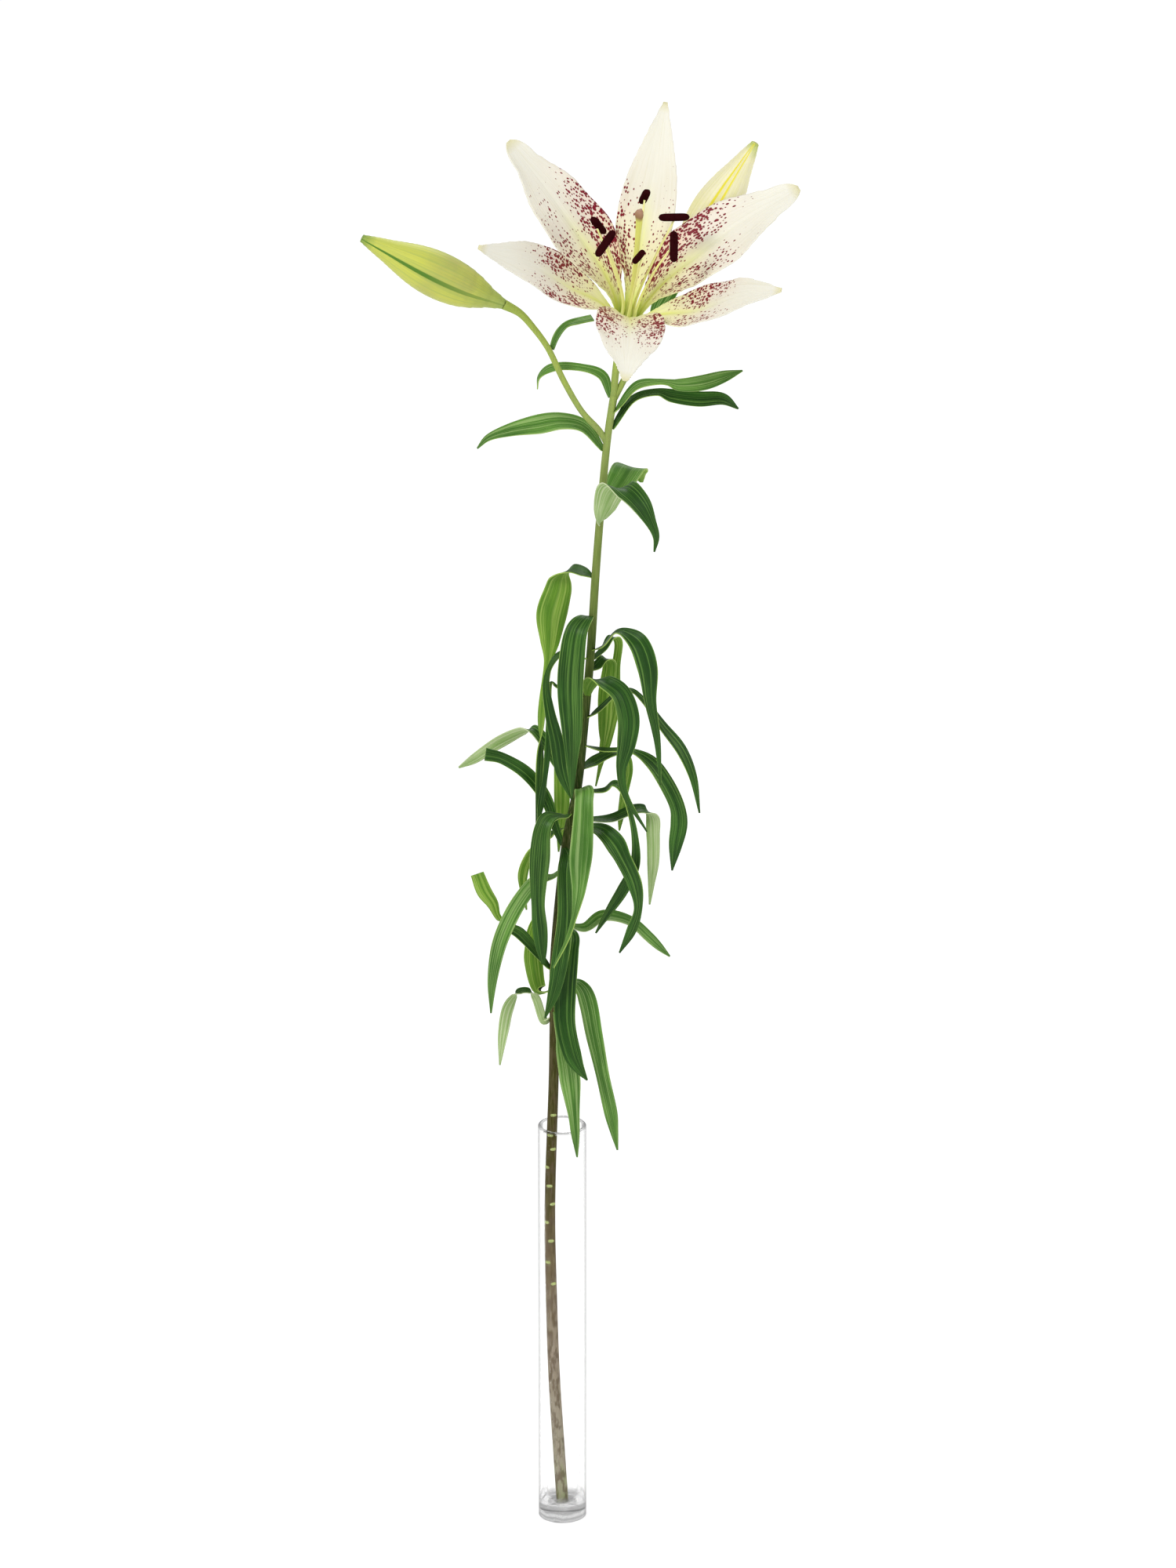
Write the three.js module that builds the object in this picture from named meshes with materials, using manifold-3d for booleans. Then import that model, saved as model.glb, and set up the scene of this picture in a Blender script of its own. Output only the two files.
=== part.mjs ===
// A cut lily in a tall, narrow glass vase. Millimetres, +Z up, origin at the centre of the vase's foot.
// The stem stands on the vase's floor and leans on its wall, high on the left. It carries one open
// bloom, two buds on their own stalks, and leaves that arch out from the stem and hang.
import * as THREE from "three";
import { mergeVertices } from "three/addons/utils/BufferGeometryUtils.js";
import Module from "manifold-3d";

const wasm = await Module();
wasm.setup();

const GAP = 0.3; // clearance between pieces that touch
const TURN = Math.PI / 180;

// Vase: a straight drawn tube with a thick floor. Its wall is thicker at the foot than at the lip.
const VASE_RADIUS = 14.5;
const VASE_HEIGHT = 255;
const LIP_WALL = 2.4;
const FOOT_WALL = 3.4;
const VASE_FLOOR = 8;
const FOOT_ROUND = 0.7;
const FLOOR_FILLET = 9; // the floor is a shallow bowl
const VASE_SIDES = 40;

// Every place on the plant is measured from this one, so the plant as a whole stands forward in the
// vase, with its weight over the foot.
const PLANT_AT = new THREE.Vector3(0, -11, 3.8);

// Stem: centre points [x, y, z, radius] from the cut end to the fork under the bloom. The edge of
// the cut end rests on the bowl, a little above the middle of the floor.
const STEM_END = VASE_FLOOR + 1.4 - PLANT_AT.z;
const STEM = [
  [0, 8, STEM_END, 3.6],
  [-2, 8, 38, 3.6],
  [-5, 8, 90, 3.5],
  [-6.5, 8, 140, 3.4],
  [-7.4, 7.8, 186, 3.3],
  [-7, 7, 218, 3.2],
  [-6, 6.3, 250, 3.1],
  [-5, 6.8, 282, 3],
  [-4.5, 7, 325, 2.9],
  [-4.5, 8, 352, 2.9],
  [-1, 9, 400, 2.8],
  [3, 9.6, 434, 2.7],
  [9, 10.5, 465, 2.7],
  [13, 11.4, 503, 2.6],
  [17, 12, 550, 2.5],
  [20, 12.4, 600, 2.4],
  [23, 13, 640, 2.3],
  [27, 13.5, 684, 2.2],
  [30.5, 14.5, 708, 2.3],
];
const STEM_SIDES = 10;
const STEM_STEPS = 44;

// Bloom: the point that its pieces grow from, and the direction that it faces.
const BLOOM_SEAT = new THREE.Vector3(37, 12, 749);
const BLOOM_FACING = new THREE.Vector3(0.127, -0.481, 0.867).normalize();
const SEAT_RADIUS = 6.4;
const BLOOM_CLEAR = 0.4; // from the seat to the pieces that stand on it

// Stalks of the three flowers, [x, y, z, radius]. Each starts inside the stem that it forks from.
const BLOOM_STALK = [
  [30, 14.3, 704, 2.1],
  [31.5, 16, 722, 2.1],
  [33.5, 16.2, 736, 2.3],
  [36.2, 13.8, 745, 4.2],
  [37, 12, 748.7, SEAT_RADIUS],
];
const LEFT_STALK = [
  [26.5, 13.4, 679, 1.9],
  [22, 12.5, 687, 1.9],
  [12, 11.5, 699, 1.8],
  [1.5, 10.5, 718, 1.8],
  [-8, 9.5, 739, 1.8],
  [-16, 8.5, 751, 1.9],
  [-24, 7.5, 760.5, 2.2],
  [-33.2, 6.5, 766.2, 3],
];
const RIGHT_STALK = [
  [30.2, 14.4, 705, 1.9],
  [35, 17, 714, 1.9],
  [43, 22, 728.5, 1.8],
  [54, 28, 751, 2],
  [68, 32, 773.5, 3],
];

// Buds: axis points, and their greatest radii.
const LEFT_BUD = [
  [-34.2, 6.3, 766.8],
  [-58, 5, 778],
  [-85, 4, 791.8],
  [-115, 3, 807.4],
];
const RIGHT_BUD = [
  [68.8, 32.4, 775],
  [80, 33, 797.5],
  [96, 32, 827.5],
  [112, 29, 856.5],
];
const LEFT_BUD_RADIUS = 13.8;
const RIGHT_BUD_RADIUS = 14;
const BUD_GROOVE = 0.09; // depth of the three grooves, as a share of the radius
const BUD_SIDES = 18;
const BUD_STEPS = 16;

// Tepals, six round the bloom's axis. The profiles give [out from the axis, up along it].
const INNER_WIDTH = 43;
const FRONT_WIDTH = 40;
const OUTER_WIDTH = 33;
const TEPAL_THICK = 0.75;
const TEPAL_ACROSS = 6;
const TEPAL_CHANNEL = [0.55, 0.12]; // its depth at the claw and at the tip, as a share of half the width
const CHANNEL_OPENS = 1.6; // how soon it goes from the one to the other
const TEPAL_LEAN = { inward: 0.6, up: 0.25 }; // how its upper face turns from inwards to up
const OPEN_PROFILE = [[5.9, 0.5], [9, 15], [20, 33], [40, 49], [69, 70], [98, 88]];
const TOP_PROFILE = [[6.2, 0.5], [10.5, 14], [25, 31], [45, 47], [70, 69], [100, 89]];
const RAISED_PROFILE = [[5.9, 0.5], [9, 15], [20, 34], [40, 52], [68, 73], [98, 89]];
const FRONT_PROFILE = [[5.9, 0.5], [9.5, 16], [22, 34], [46, 50], [73, 61], [93, 67], [102, 66]];
const LEFT_PROFILE = [[5.9, 0.5], [9, 13], [20, 29], [43, 50], [73, 80], [107, 104]];
const RIGHT_PROFILE = [[5.9, 0.5], [9, 13], [21, 28], [43, 48], [71, 82], [94, 103]];
const TEPALS = [
  { name: "tepal_inner_right", compass: 24, wide: INNER_WIDTH, roll: 0, profile: RAISED_PROFILE },
  { name: "tepal_outer_top", compass: 83, wide: OUTER_WIDTH, roll: 0, profile: TOP_PROFILE },
  { name: "tepal_inner_left", compass: 144, wide: INNER_WIDTH, roll: 0, profile: OPEN_PROFILE },
  { name: "tepal_outer_left", compass: 204, wide: OUTER_WIDTH, roll: -58, profile: LEFT_PROFILE },
  { name: "tepal_inner_front", compass: 265, wide: FRONT_WIDTH, roll: 0, profile: FRONT_PROFILE },
  { name: "tepal_outer_right", compass: 324, wide: OUTER_WIDTH, roll: 40, profile: RIGHT_PROFILE },
];

// Stamens in the bloom's own frame (x right, y back, z along its axis): the filament's tip, and the
// direction that the anther lies in.
const STAMENS = [
  { tip: [1, 29, 79], lies: [0.06, -0.34, 0.9] },
  { tip: [18, 15, 79], lies: [0.98, 0.05, 0.1] },
  { tip: [17, -4, 77], lies: [-0.08, 0.73, 0.68] },
  { tip: [-1, -18, 79], lies: [0.15, -0.4, 0.9] },
  { tip: [-21, -9, 79], lies: [0.5, 0.64, 0.59] },
  { tip: [-26.5, 3, 79], lies: [-0.51, -0.2, 0.86] },
];
const FILAMENT_RADIUS = 0.9;
const FILAMENT_RING = 3.9;
const FILAMENT_TAPER = 0.4;
const FILAMENT_LOW = { out: 1.15, up: 0.3 }; // low on a filament: shares of its ring and of its height
const FILAMENT_HIGH = { out: 0.6, up: 0.7 }; // high on it: shares of the way to its tip
const ANTHER_LENGTH = 18;
const ANTHER_RADIUS = 2.4;
const ANTHER_CLEAR = 0.8; // from the filament's tip to the anther's side

// Pistil in the same frame: its points, and its radius at even steps from the ovary to the stigma.
const PISTIL = [
  [0, 0, BLOOM_CLEAR],
  [0, 0.5, 18],
  [-0.5, 2.5, 45],
  [-3.5, 8, 92],
];
const PISTIL_OUTLINE = [2.3, 2.6, 2.5, 1.7, 1.3, 1.3, 1.3, 1.35, 1.4, 1.45, 1.5, 1.6, 1.7, 2, 3];
const STIGMA_LOBES = 0.2;
const STIGMA_FROM = 0.92; // share of the length where the lobes begin

// Leaves. `height` and `compass` are where one leaves the stem (compass 0 is +X, -90 the front).
// A path row is [x, y, z, compass and lift of the direction that the upper face looks in, width].
const LEAF_THICK = 0.65;
const LEAF_CHANNEL = 0.22; // its depth, as a share of half the width
const ROOT_WIDTH = 2.4;
const ROOT_LIFT = 60; // degrees that its upper face looks up by at the root
const LEAVES = [
  {
    height: 707, compass: 190,
    path: [
      [24, 17, 719, -90, 50, 6], [12, 20, 723, -90, 50, 5], [-6, 20, 723, -90, 50, 5.5],
      [-13, 18, 718, -150, 20, 3], [-14, 17, 711, 180, 0, 1],
    ],
  },
  {
    height: 698, compass: -25,
    path: [
      [44, 8, 716, -90, 55, 6], [56, 6, 719, -90, 50, 4], [62, 5, 719, -90, 40, 4],
      [68, 4, 718, -90, 20, 7], [82, 2, 720, -90, 15, 9], [94, 1, 724, -90, 25, 7],
      [105, 0, 728, -90, 30, 1],
    ],
  },
  {
    height: 688, compass: 5,
    path: [
      [42, 17, 705, -90, 60, 5], [56, 20, 708, -90, 50, 5], [64, 20, 706, -90, 30, 8],
      [80, 20, 704, -90, 25, 9], [94, 20, 704, -90, 30, 7], [103, 20, 698, -90, 30, 1],
    ],
  },
  {
    height: 675, compass: 180,
    path: [
      [13, 17, 688, -90, 50, 8], [0, 17, 691, -90, 45, 11], [-14, 14, 690, -90, 40, 12],
      [-30, 11, 688, -90, 40, 8], [-43, 8, 684, -90, 40, 4], [-49, 7, 678, -90, 30, 1],
    ],
  },
  {
    height: 643, compass: 60,
    path: [
      [30, 22, 645, -100, 30, 13], [36, 29, 652, -110, 30, 18], [40, 36, 656, -110, 60, 20],
      [43, 42, 653, 50, 60, 17], [47, 46, 644, 60, 0, 2],
    ],
  },
  {
    height: 630, compass: -90,
    path: [
      [25, 4, 642, 90, 5, 13], [31, -6, 657, 95, 50, 19], [38, -12, 658, -80, 65, 17],
      [46, -15, 651, -65, 30, 13], [52, -15, 640, -60, 5, 7], [55, -15, 631, -70, 0, 4],
      [54, -15, 622, -80, 0, 1],
    ],
  },
  {
    height: 597, compass: 170,
    path: [
      [13, 15, 599, -100, 65, 7], [6, 20, 599, -110, 75, 9], [0, 24, 593, 120, 60, 13],
      [-2, 25, 584, 93, 3, 16], [-6, 26, 568, 90, 0, 18], [-7, 25, 551, 88, 0, 11],
      [-8, 23, 540, 80, 0, 5], [-12, 18, 510, 60, 0, 5], [-13, 13, 480, -60, 0, 5],
      [-15, 10, 443, -90, 0, 1],
    ],
  },
  {
    height: 573, compass: -120,
    path: [
      [14, 4, 574, -95, 65, 9], [9, -2, 569, -100, 15, 13], [6, -6, 552, -92, 0, 15],
      [5, -8, 534, -90, 0, 15], [6, -10, 510, -90, 0, 12], [6, -11, 488, -90, 0, 6],
      [6, -11, 468, -90, 0, 1],
    ],
  },
  {
    height: 552, compass: -40,
    path: [
      [24, 6, 556, -60, 60, 4], [33, -2, 568, -60, 60, 5], [39, -5, 567, -75, 50, 9],
      [45, -9, 563, -80, 22, 12], [50, -11, 550, -88, 0, 12], [52, -12, 528, -90, 0, 7],
      [56, -12, 504, -90, 0, 4], [58, -12, 476, -90, 0, 1],
    ],
  },
  {
    height: 546, compass: 30,
    path: [
      [25, 20, 550, -90, 60, 4], [29, 24, 555, -90, 70, 5], [33, 27, 552, 90, 30, 5],
      [32, 29, 535, 90, 0, 5], [30, 29, 510, 90, 0, 8], [26, 28, 489, 90, 0, 7],
      [23, 27, 475, 90, 0, 3], [20, 26, 461, 90, 0, 1],
    ],
  },
  {
    height: 538, compass: 50,
    path: [
      [21, 15, 541, -90, 55, 6], [25, 18, 544, -90, 70, 6], [28, 21, 540, 80, 40, 8],
      [26, 22, 521, 90, 0, 9], [25, 22, 500, 90, 0, 7], [24, 22, 485, 90, 0, 1],
    ],
  },
  {
    height: 546, compass: 190,
    path: [
      [4, 6, 552, -100, 60, 4], [-2, 4, 551, -110, 50, 4], [-7, 2, 544, -120, 5, 3],
      [-9, 1, 535, -100, 0, 4], [-7, -1, 518, -90, 0, 6], [-3, -2, 500, -90, 0, 8],
      [0, -2, 480, -90, 0, 7], [6, -2, 463, -90, 0, 1],
    ],
  },
  {
    height: 522, compass: 180,
    path: [
      [-3, 9, 530, -90, 50, 2], [-6, 7, 533, -130, 60, 2], [-7, 5, 520, -140, 0, 3],
      [-8, 4, 495, -90, 0, 4], [-10, 3, 474, -90, 0, 3], [-12, 3, 460, -90, 0, 4],
      [-14, 3, 446, -90, 0, 1],
    ],
  },
  {
    height: 524, compass: -80,
    path: [
      [16, 3, 532, 90, 20, 8], [19, -2, 538, 95, 55, 10], [26, -8, 538, -80, 55, 11],
      [34, -11, 533, -70, 25, 12], [39, -13, 519, -85, 3, 13], [38, -14, 503, -90, 0, 11],
      [35, -14, 487, -90, 0, 6], [37, -15, 472, -90, 0, 4], [50, -15, 448, -90, 0, 1],
    ],
  },
  {
    height: 510, compass: -20,
    path: [
      [22, 8, 516, -90, 60, 4], [34, 2, 529, -90, 60, 3], [41, -1, 531, -80, 60, 3],
      [48, -2, 525, -60, 50, 4], [59, -4, 510, -50, 15, 6], [70, -6, 496, -55, 5, 7],
      [77, -8, 480, -65, 0, 5], [81, -8, 457, -90, 0, 1],
    ],
  },
  {
    height: 492, compass: 0,
    path: [
      [24, 7, 491, -90, 75, 4], [41, 2, 492, -90, 70, 4], [52, 0, 486, -72, 35, 8],
      [61, -2, 474, -75, 10, 9], [68, -4, 459, -85, 0, 9], [69, -5, 449, -90, 0, 10],
      [67, -6, 436, -90, 0, 8], [65, -6, 420, -90, 0, 1],
    ],
  },
  {
    height: 484, compass: 130,
    path: [
      [6, 23, 482, -90, 60, 8], [1, 27, 483, 90, 60, 9], [0, 29, 473, 90, 5, 9],
      [0, 30, 447, 90, 0, 9], [-1, 30, 432, 90, 0, 5], [-2, 30, 418, 90, 0, 1],
    ],
  },
  {
    height: 478, compass: 20,
    path: [
      [19, 17, 480, -95, 50, 7], [30, 20, 484, -90, 65, 6], [36, 22, 483, 40, 50, 6],
      [39, 25, 473, 92, 0, 6], [37, 26, 458, 90, 0, 5], [35, 26, 443, 90, 0, 4],
      [34, 26, 433, 90, 0, 1],
    ],
  },
  {
    height: 474, compass: 165,
    path: [
      [-1, 18, 476, -90, 60, 6], [-8, 22, 487, -90, 45, 7], [-17, 27, 496, -130, 75, 8],
      [-23, 29, 494, 80, 40, 8], [-37, 30, 487, 90, 8, 8], [-52, 29, 477, 90, 5, 6],
      [-61, 28, 472, 90, 5, 1],
    ],
  },
  {
    height: 465, compass: -90,
    path: [
      [13, -4, 470, -90, 60, 11], [13, -10, 464, -90, 8, 11], [12, -15, 443, -90, 0, 13],
      [11, -17, 430, -90, 0, 13], [10, -19, 411, -110, 0, 8], [7, -21, 395, -150, 0, 5],
      [3, -22, 382, -150, 0, 3], [-5, -23, 365, -150, 0, 1],
    ],
  },
  {
    height: 464, compass: -15,
    path: [
      [25, 6, 466, -90, 60, 4], [31, 1, 472, -90, 55, 5], [35, -3, 470, -60, 20, 4],
      [39, -5, 460, -60, 0, 3], [43, -4, 441, -90, 0, 4], [43, 0, 421, -90, 0, 6],
      [36, 1, 405, -90, 0, 7], [28, 0, 392, -90, 0, 5], [20, 0, 378, -90, 0, 1],
    ],
  },
  {
    height: 450, compass: -130,
    path: [
      [2, 2, 451, -95, 60, 4], [-3, -3, 453, -95, 55, 5], [-8, -7, 453, -100, 40, 9],
      [-11, -10, 448, -98, 12, 10], [-13, -12, 429, -90, 0, 12], [-14, -12, 402, -90, 0, 8],
      [-13, -12, 386, -90, 0, 9], [-12, -12, 374, -90, 0, 7], [-11, -12, 363, -90, 0, 2],
    ],
  },
  {
    height: 443, compass: -40,
    path: [
      [22, 1, 443, -90, 60, 9], [27, -3, 441, -95, 50, 11], [32, -6, 436, -100, 35, 12],
      [36, -8, 429, -105, 20, 10], [43, -9, 413, -100, 5, 9], [45, -9, 397, -90, 0, 5],
      [41, -9, 383, -90, 0, 6], [34, -9, 369, -90, 0, 1],
    ],
  },
  {
    height: 446, compass: 15,
    path: [
      [29, 17, 444, -90, 55, 6], [43, 21, 448, -90, 60, 7], [49, 23, 447, -90, 70, 8],
      [53, 25, 442, 60, 45, 9], [54, 26, 430, 90, 0, 8], [54, 26, 412, 90, 0, 7],
      [53, 26, 399, 90, 0, 4], [52, 26, 386, 90, 0, 1],
    ],
  },
  {
    height: 440, compass: 140,
    path: [
      [-5, 18, 434, -90, 60, 5], [-12, 19, 429, -120, 50, 5], [-19, 20, 420, 120, 0, 5],
      [-23, 20, 408, 90, 0, 6], [-23, 20, 398, 90, 0, 4], [-21, 20, 385, 90, 0, 1],
    ],
  },
  {
    height: 430, compass: 175,
    path: [
      [-4, 12, 441, -90, 40, 5], [-9, 16, 456, -90, 30, 7], [-20, 16, 472, -90, 35, 8],
      [-35, 14, 483, -90, 40, 7], [-45, 13, 486, -90, 40, 8],
    ],
  },
  {
    height: 429, compass: -120,
    path: [
      [3, -3, 427, -95, 40, 8], [2, -8, 420, -92, 3, 9], [2, -13, 395, -90, 0, 9],
      [-1, -16, 368, -90, 0, 10], [-5, -17, 346, -90, 0, 7], [-10, -18, 331, -90, 0, 1],
    ],
  },
  {
    height: 414, compass: 180,
    path: [
      [-5, 3, 413, -90, 75, 4], [-14, -4, 413, -95, 45, 8], [-25, -8, 401, -100, 10, 9],
      [-36, -10, 378, -92, 0, 9], [-41, -10, 353, -90, 0, 6], [-42, -10, 331, -90, 0, 1],
    ],
  },
  {
    height: 381, compass: 15,
    path: [
      [13, 11, 377, -90, 50, 6], [24, 14, 383, -90, 55, 8], [40, 17, 379, -85, 55, 7],
      [51, 18, 369, -75, 50, 7], [58, 18, 362, -70, 45, 5], [64, 18, 356, -70, 45, 1],
    ],
  },
  {
    height: 380, compass: -60,
    path: [
      [5, -3, 377, -90, 45, 10], [4, -7, 370, -90, 5, 12], [2, -11, 347, -90, 0, 13],
      [2, -16, 327, -90, 0, 12], [6, -20, 309, -90, 0, 11], [9, -21, 302, -90, 0, 8],
      [15, -22, 293, -90, 0, 1],
    ],
  },
  {
    height: 352, compass: 185,
    path: [
      [-15, 7, 363, -90, 35, 5], [-25, 7, 375, -90, 35, 7], [-33, 6, 380, -90, 45, 5],
      [-38, 4, 387, 90, 20, 4], [-41, 4, 395, 90, 0, 7], [-46, 4, 403, 90, 0, 9],
      [-50, 4, 414, 90, 0, 8],
    ],
  },
  {
    height: 341, compass: 0,
    path: [
      [2, 5, 340, -60, 60, 7], [8, 2, 345, -50, 60, 8], [12, 0, 342, -60, 30, 10],
      [15, -1, 335, -70, 8, 11], [19, -3, 315, -85, 0, 10], [24, -5, 290, -90, 0, 8],
      [29, -7, 266, -90, 0, 8], [31, -7, 254, -90, 0, 5], [33, -7, 242, -90, 0, 1],
    ],
  },
  {
    height: 338, compass: 165,
    path: [
      [-13, 16, 335, 100, 30, 8], [-17, 20, 352, 90, 10, 11], [-17, 22, 361, 90, 0, 10],
      [-16, 23, 371, 90, 0, 9], [-13, 24, 382, 90, 0, 4],
    ],
  },
  {
    height: 326, compass: -80,
    path: [
      [1, -8, 313, -90, 40, 9], [2, -12, 308, -90, 8, 11], [4, -15, 297, -90, 0, 12],
      [5, -16, 289, -90, 0, 12], [7, -17, 269, -90, 0, 7], [8, -18, 256, -90, 0, 5],
      [9, -18, 242, -90, 0, 1],
    ],
  },
  {
    height: 322, compass: 175,
    path: [
      [-10, 8, 318, 100, 30, 5], [-16, 6, 335, 130, 60, 5], [-20, 5, 339, -110, 70, 5],
      [-25, 4, 339, -110, 65, 5], [-28, 3, 336, 110, 40, 6], [-32, 2, 329, 95, 10, 7],
      [-35, 2, 313, 90, 0, 6], [-37, 2, 293, 90, 0, 1],
    ],
  },
];

// Small bracts on the two bud stalks. The first row is where each one grows from its stalk.
const BRACTS = [
  {
    name: "bract_left",
    path: [
      [-5.6, 12.2, 737, -90, 30, 3], [-3, 13, 744.5, -60, 35, 4], [2, 16, 750, -80, 55, 4],
      [9, 20, 751.5, -85, 60, 5], [18, 25, 752, -85, 60, 5],
    ],
  },
  {
    name: "bract_right",
    path: [
      [54, 24.4, 748, -90, 20, 2], [56, 22, 757, -90, 20, 9], [62, 24, 767, -90, 25, 10],
      [71, 25, 774, -90, 30, 1],
    ],
  },
];

// Share of a piece's greatest width at even steps from its root to its tip.
const INNER_OUTLINE = [0.1, 0.15, 0.29, 0.62, 0.9, 1, 0.98, 0.86, 0.65, 0.38, 0.08];
const OUTER_OUTLINE = [0.12, 0.17, 0.32, 0.66, 0.94, 1, 0.95, 0.8, 0.58, 0.33, 0.07];
const BUD_OUTLINE = [0.22, 0.42, 0.68, 0.87, 0.97, 1, 0.96, 0.85, 0.69, 0.51, 0.35, 0.17];

function material(color, roughness) {
  return new THREE.MeshStandardMaterial({ color, roughness, metalness: 0 });
}
const GLASS = material("#eef3f2", 0.03);
const STEM_GREEN = material("#6d7a37", 0.6);
const LEAF_GREEN = material("#3f7a3a", 0.5);
const TEPAL_CREAM = material("#f1ead8", 0.55);
const BUD_GREEN = material("#b7be4f", 0.5);
const BUD_CREAM = material("#e8e3a8", 0.5);
const FILAMENT_YELLOW = material("#d8d27a", 0.5);
const ANTHER_BROWN = material("#3a0f10", 0.9);
const PISTIL_GREEN = material("#c3c45e", 0.5);

function place([x, y, z]) {
  return new THREE.Vector3(x, y, z);
}

// A unit vector from a compass direction and a lift above level, in degrees.
function direction(compass, lift = 0) {
  const level = Math.cos(lift * TURN);
  return new THREE.Vector3(
    level * Math.cos(compass * TURN),
    level * Math.sin(compass * TURN),
    Math.sin(lift * TURN),
  );
}

// The value of an evenly spaced list at a share from 0 to 1.
function along(list, share) {
  const spot = THREE.MathUtils.clamp(share, 0, 1) * (list.length - 1);
  const first = Math.min(Math.floor(spot), list.length - 2);
  return THREE.MathUtils.lerp(list[first], list[first + 1], spot - first);
}

function mesh(name, geometry, finish) {
  const made = new THREE.Mesh(geometry, finish);
  made.name = name;
  return made;
}

// Shared vertices of a closed three.js geometry, with nothing but their places.
function closed(geometry) {
  const bare = geometry.clone();
  bare.deleteAttribute("normal");
  bare.deleteAttribute("uv");
  return mergeVertices(bare, 1e-4);
}

function solid(geometry) {
  const shell = closed(geometry);
  return new wasm.Manifold(
    new wasm.Mesh({
      numProp: 3,
      vertProperties: shell.attributes.position.array,
      triVerts: new Uint32Array(shell.index.array),
    }),
  );
}

function geometryOf(manifold) {
  const made = manifold.getMesh();
  const geometry = new THREE.BufferGeometry();
  geometry.setAttribute("position", new THREE.BufferAttribute(made.vertProperties, 3));
  geometry.setIndex(new THREE.BufferAttribute(made.triVerts, 1));
  return geometry;
}

// A round rod: a capped cylinder bent along a curve. `radiusAt(share, angle)` gives its radius.
function rod(curve, sides, steps, radiusAt) {
  const geometry = closed(new THREE.CylinderGeometry(1, 1, 1, sides, steps));
  const frames = curve.computeFrenetFrames(steps, false);
  const spots = geometry.attributes.position;
  for (let i = 0; i < spots.count; i += 1) {
    const share = 0.5 - spots.getY(i);
    const step = Math.round(share * steps);
    const angle = Math.atan2(spots.getZ(i), spots.getX(i));
    const reach = Math.hypot(spots.getX(i), spots.getZ(i)) * radiusAt(share, angle);
    const spot = curve
      .getPointAt(share)
      .addScaledVector(frames.normals[step], reach * Math.cos(angle))
      .addScaledVector(frames.binormals[step], reach * Math.sin(angle));
    spots.setXYZ(i, spot.x, spot.y, spot.z);
  }
  return geometry;
}

function taperedRod(points, sides, steps) {
  const curve = new THREE.CatmullRomCurve3(points.map(place), false, "centripetal");
  const radii = points.map((point) => point[3]);
  const shares = points.map((point) => nearestShare(curve, place(point)));
  return rod(curve, sides, steps, (share) => {
    const next = Math.max(1, shares.findIndex((one) => one >= share - 1e-6));
    const blend = (share - shares[next - 1]) / (shares[next] - shares[next - 1]);
    return THREE.MathUtils.lerp(radii[next - 1], radii[next], blend);
  });
}

// How far along a curve, from 0 to 1, it comes nearest to a point.
function nearestShare(curve, point) {
  const tries = 400;
  let best = 0;
  for (let i = 1; i <= tries; i += 1) {
    const nearer = curve.getPointAt(i / tries).distanceTo(point) < curve.getPointAt(best).distanceTo(point);
    if (nearer) best = i / tries;
  }
  return best;
}

// A thin blade along its midrib. `rows` hold, for each cross-section, its centre, the direction its
// upper face looks in and its half width; `hollow` bends the section into a channel.
function blade(rows, across, thick, hollow) {
  const sheet = new THREE.PlaneGeometry(2, 1, across, rows.length - 1);
  const width = across + 1;
  const count = sheet.attributes.position.count;
  const spots = new Float32Array(count * 6);
  rows.forEach(({ centre, up, half, share }, row) => {
    const before = rows[Math.max(row - 1, 0)].centre;
    const after = rows[Math.min(row + 1, rows.length - 1)].centre;
    const tangent = after.clone().sub(before).normalize();
    const normal = up.clone().addScaledVector(tangent, -up.dot(tangent)).normalize();
    const side = normal.clone().cross(tangent);
    for (let column = 0; column < width; column += 1) {
      const i = row * width + column;
      const u = sheet.attributes.position.getX(i);
      const middle = centre
        .clone()
        .addScaledVector(side, u * half)
        .addScaledVector(normal, hollow(share, u) * half);
      middle.clone().addScaledVector(normal, thick / 2).toArray(spots, i * 3);
      middle.clone().addScaledVector(normal, -thick / 2).toArray(spots, (count + i) * 3);
    }
  });
  const faces = [...sheet.index.array];
  const under = faces.map((_, i) => faces[i - (i % 3) + (2 - (i % 3))] + count);
  const geometry = new THREE.BufferGeometry();
  geometry.setAttribute("position", new THREE.BufferAttribute(spots, 3));
  geometry.setIndex([...faces, ...under, ...rim(width, rows.length, count)]);
  return geometry;
}

// Triangles that close the edge between a blade's upper and lower face.
function rim(width, height, count) {
  const loop = [];
  for (let i = 0; i < width - 1; i += 1) loop.push(i);
  for (let j = 0; j < height - 1; j += 1) loop.push(j * width + width - 1);
  for (let i = width - 1; i > 0; i -= 1) loop.push((height - 1) * width + i);
  for (let j = height - 1; j > 0; j -= 1) loop.push(j * width);
  return loop.flatMap((from, i) => {
    const to = loop[(i + 1) % loop.length];
    return [from, to, to + count, from, to + count, from + count];
  });
}

// Cross-sections of a blade, a few to each span between its control points. `halfAt` gives the half
// width from the share of the length and from the place among the control points.
function bladeRows(centres, ups, perSpan, halfAt) {
  const curve = new THREE.CatmullRomCurve3(centres, false, "centripetal");
  const steps = (centres.length - 1) * perSpan;
  const rows = [];
  let travelled = 0;
  for (let step = 0; step <= steps; step += 1) {
    const span = Math.min(Math.floor(step / perSpan), centres.length - 2);
    const centre = curve.getPoint(step / steps);
    if (step > 0) travelled += centre.distanceTo(rows[step - 1].centre);
    const up = ups[span].clone().lerp(ups[span + 1], step / perSpan - span);
    rows.push({ centre, up, travelled });
  }
  rows.forEach((row, step) => {
    row.share = row.travelled / travelled;
    row.half = halfAt(row.share, step / steps);
  });
  return rows;
}

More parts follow.
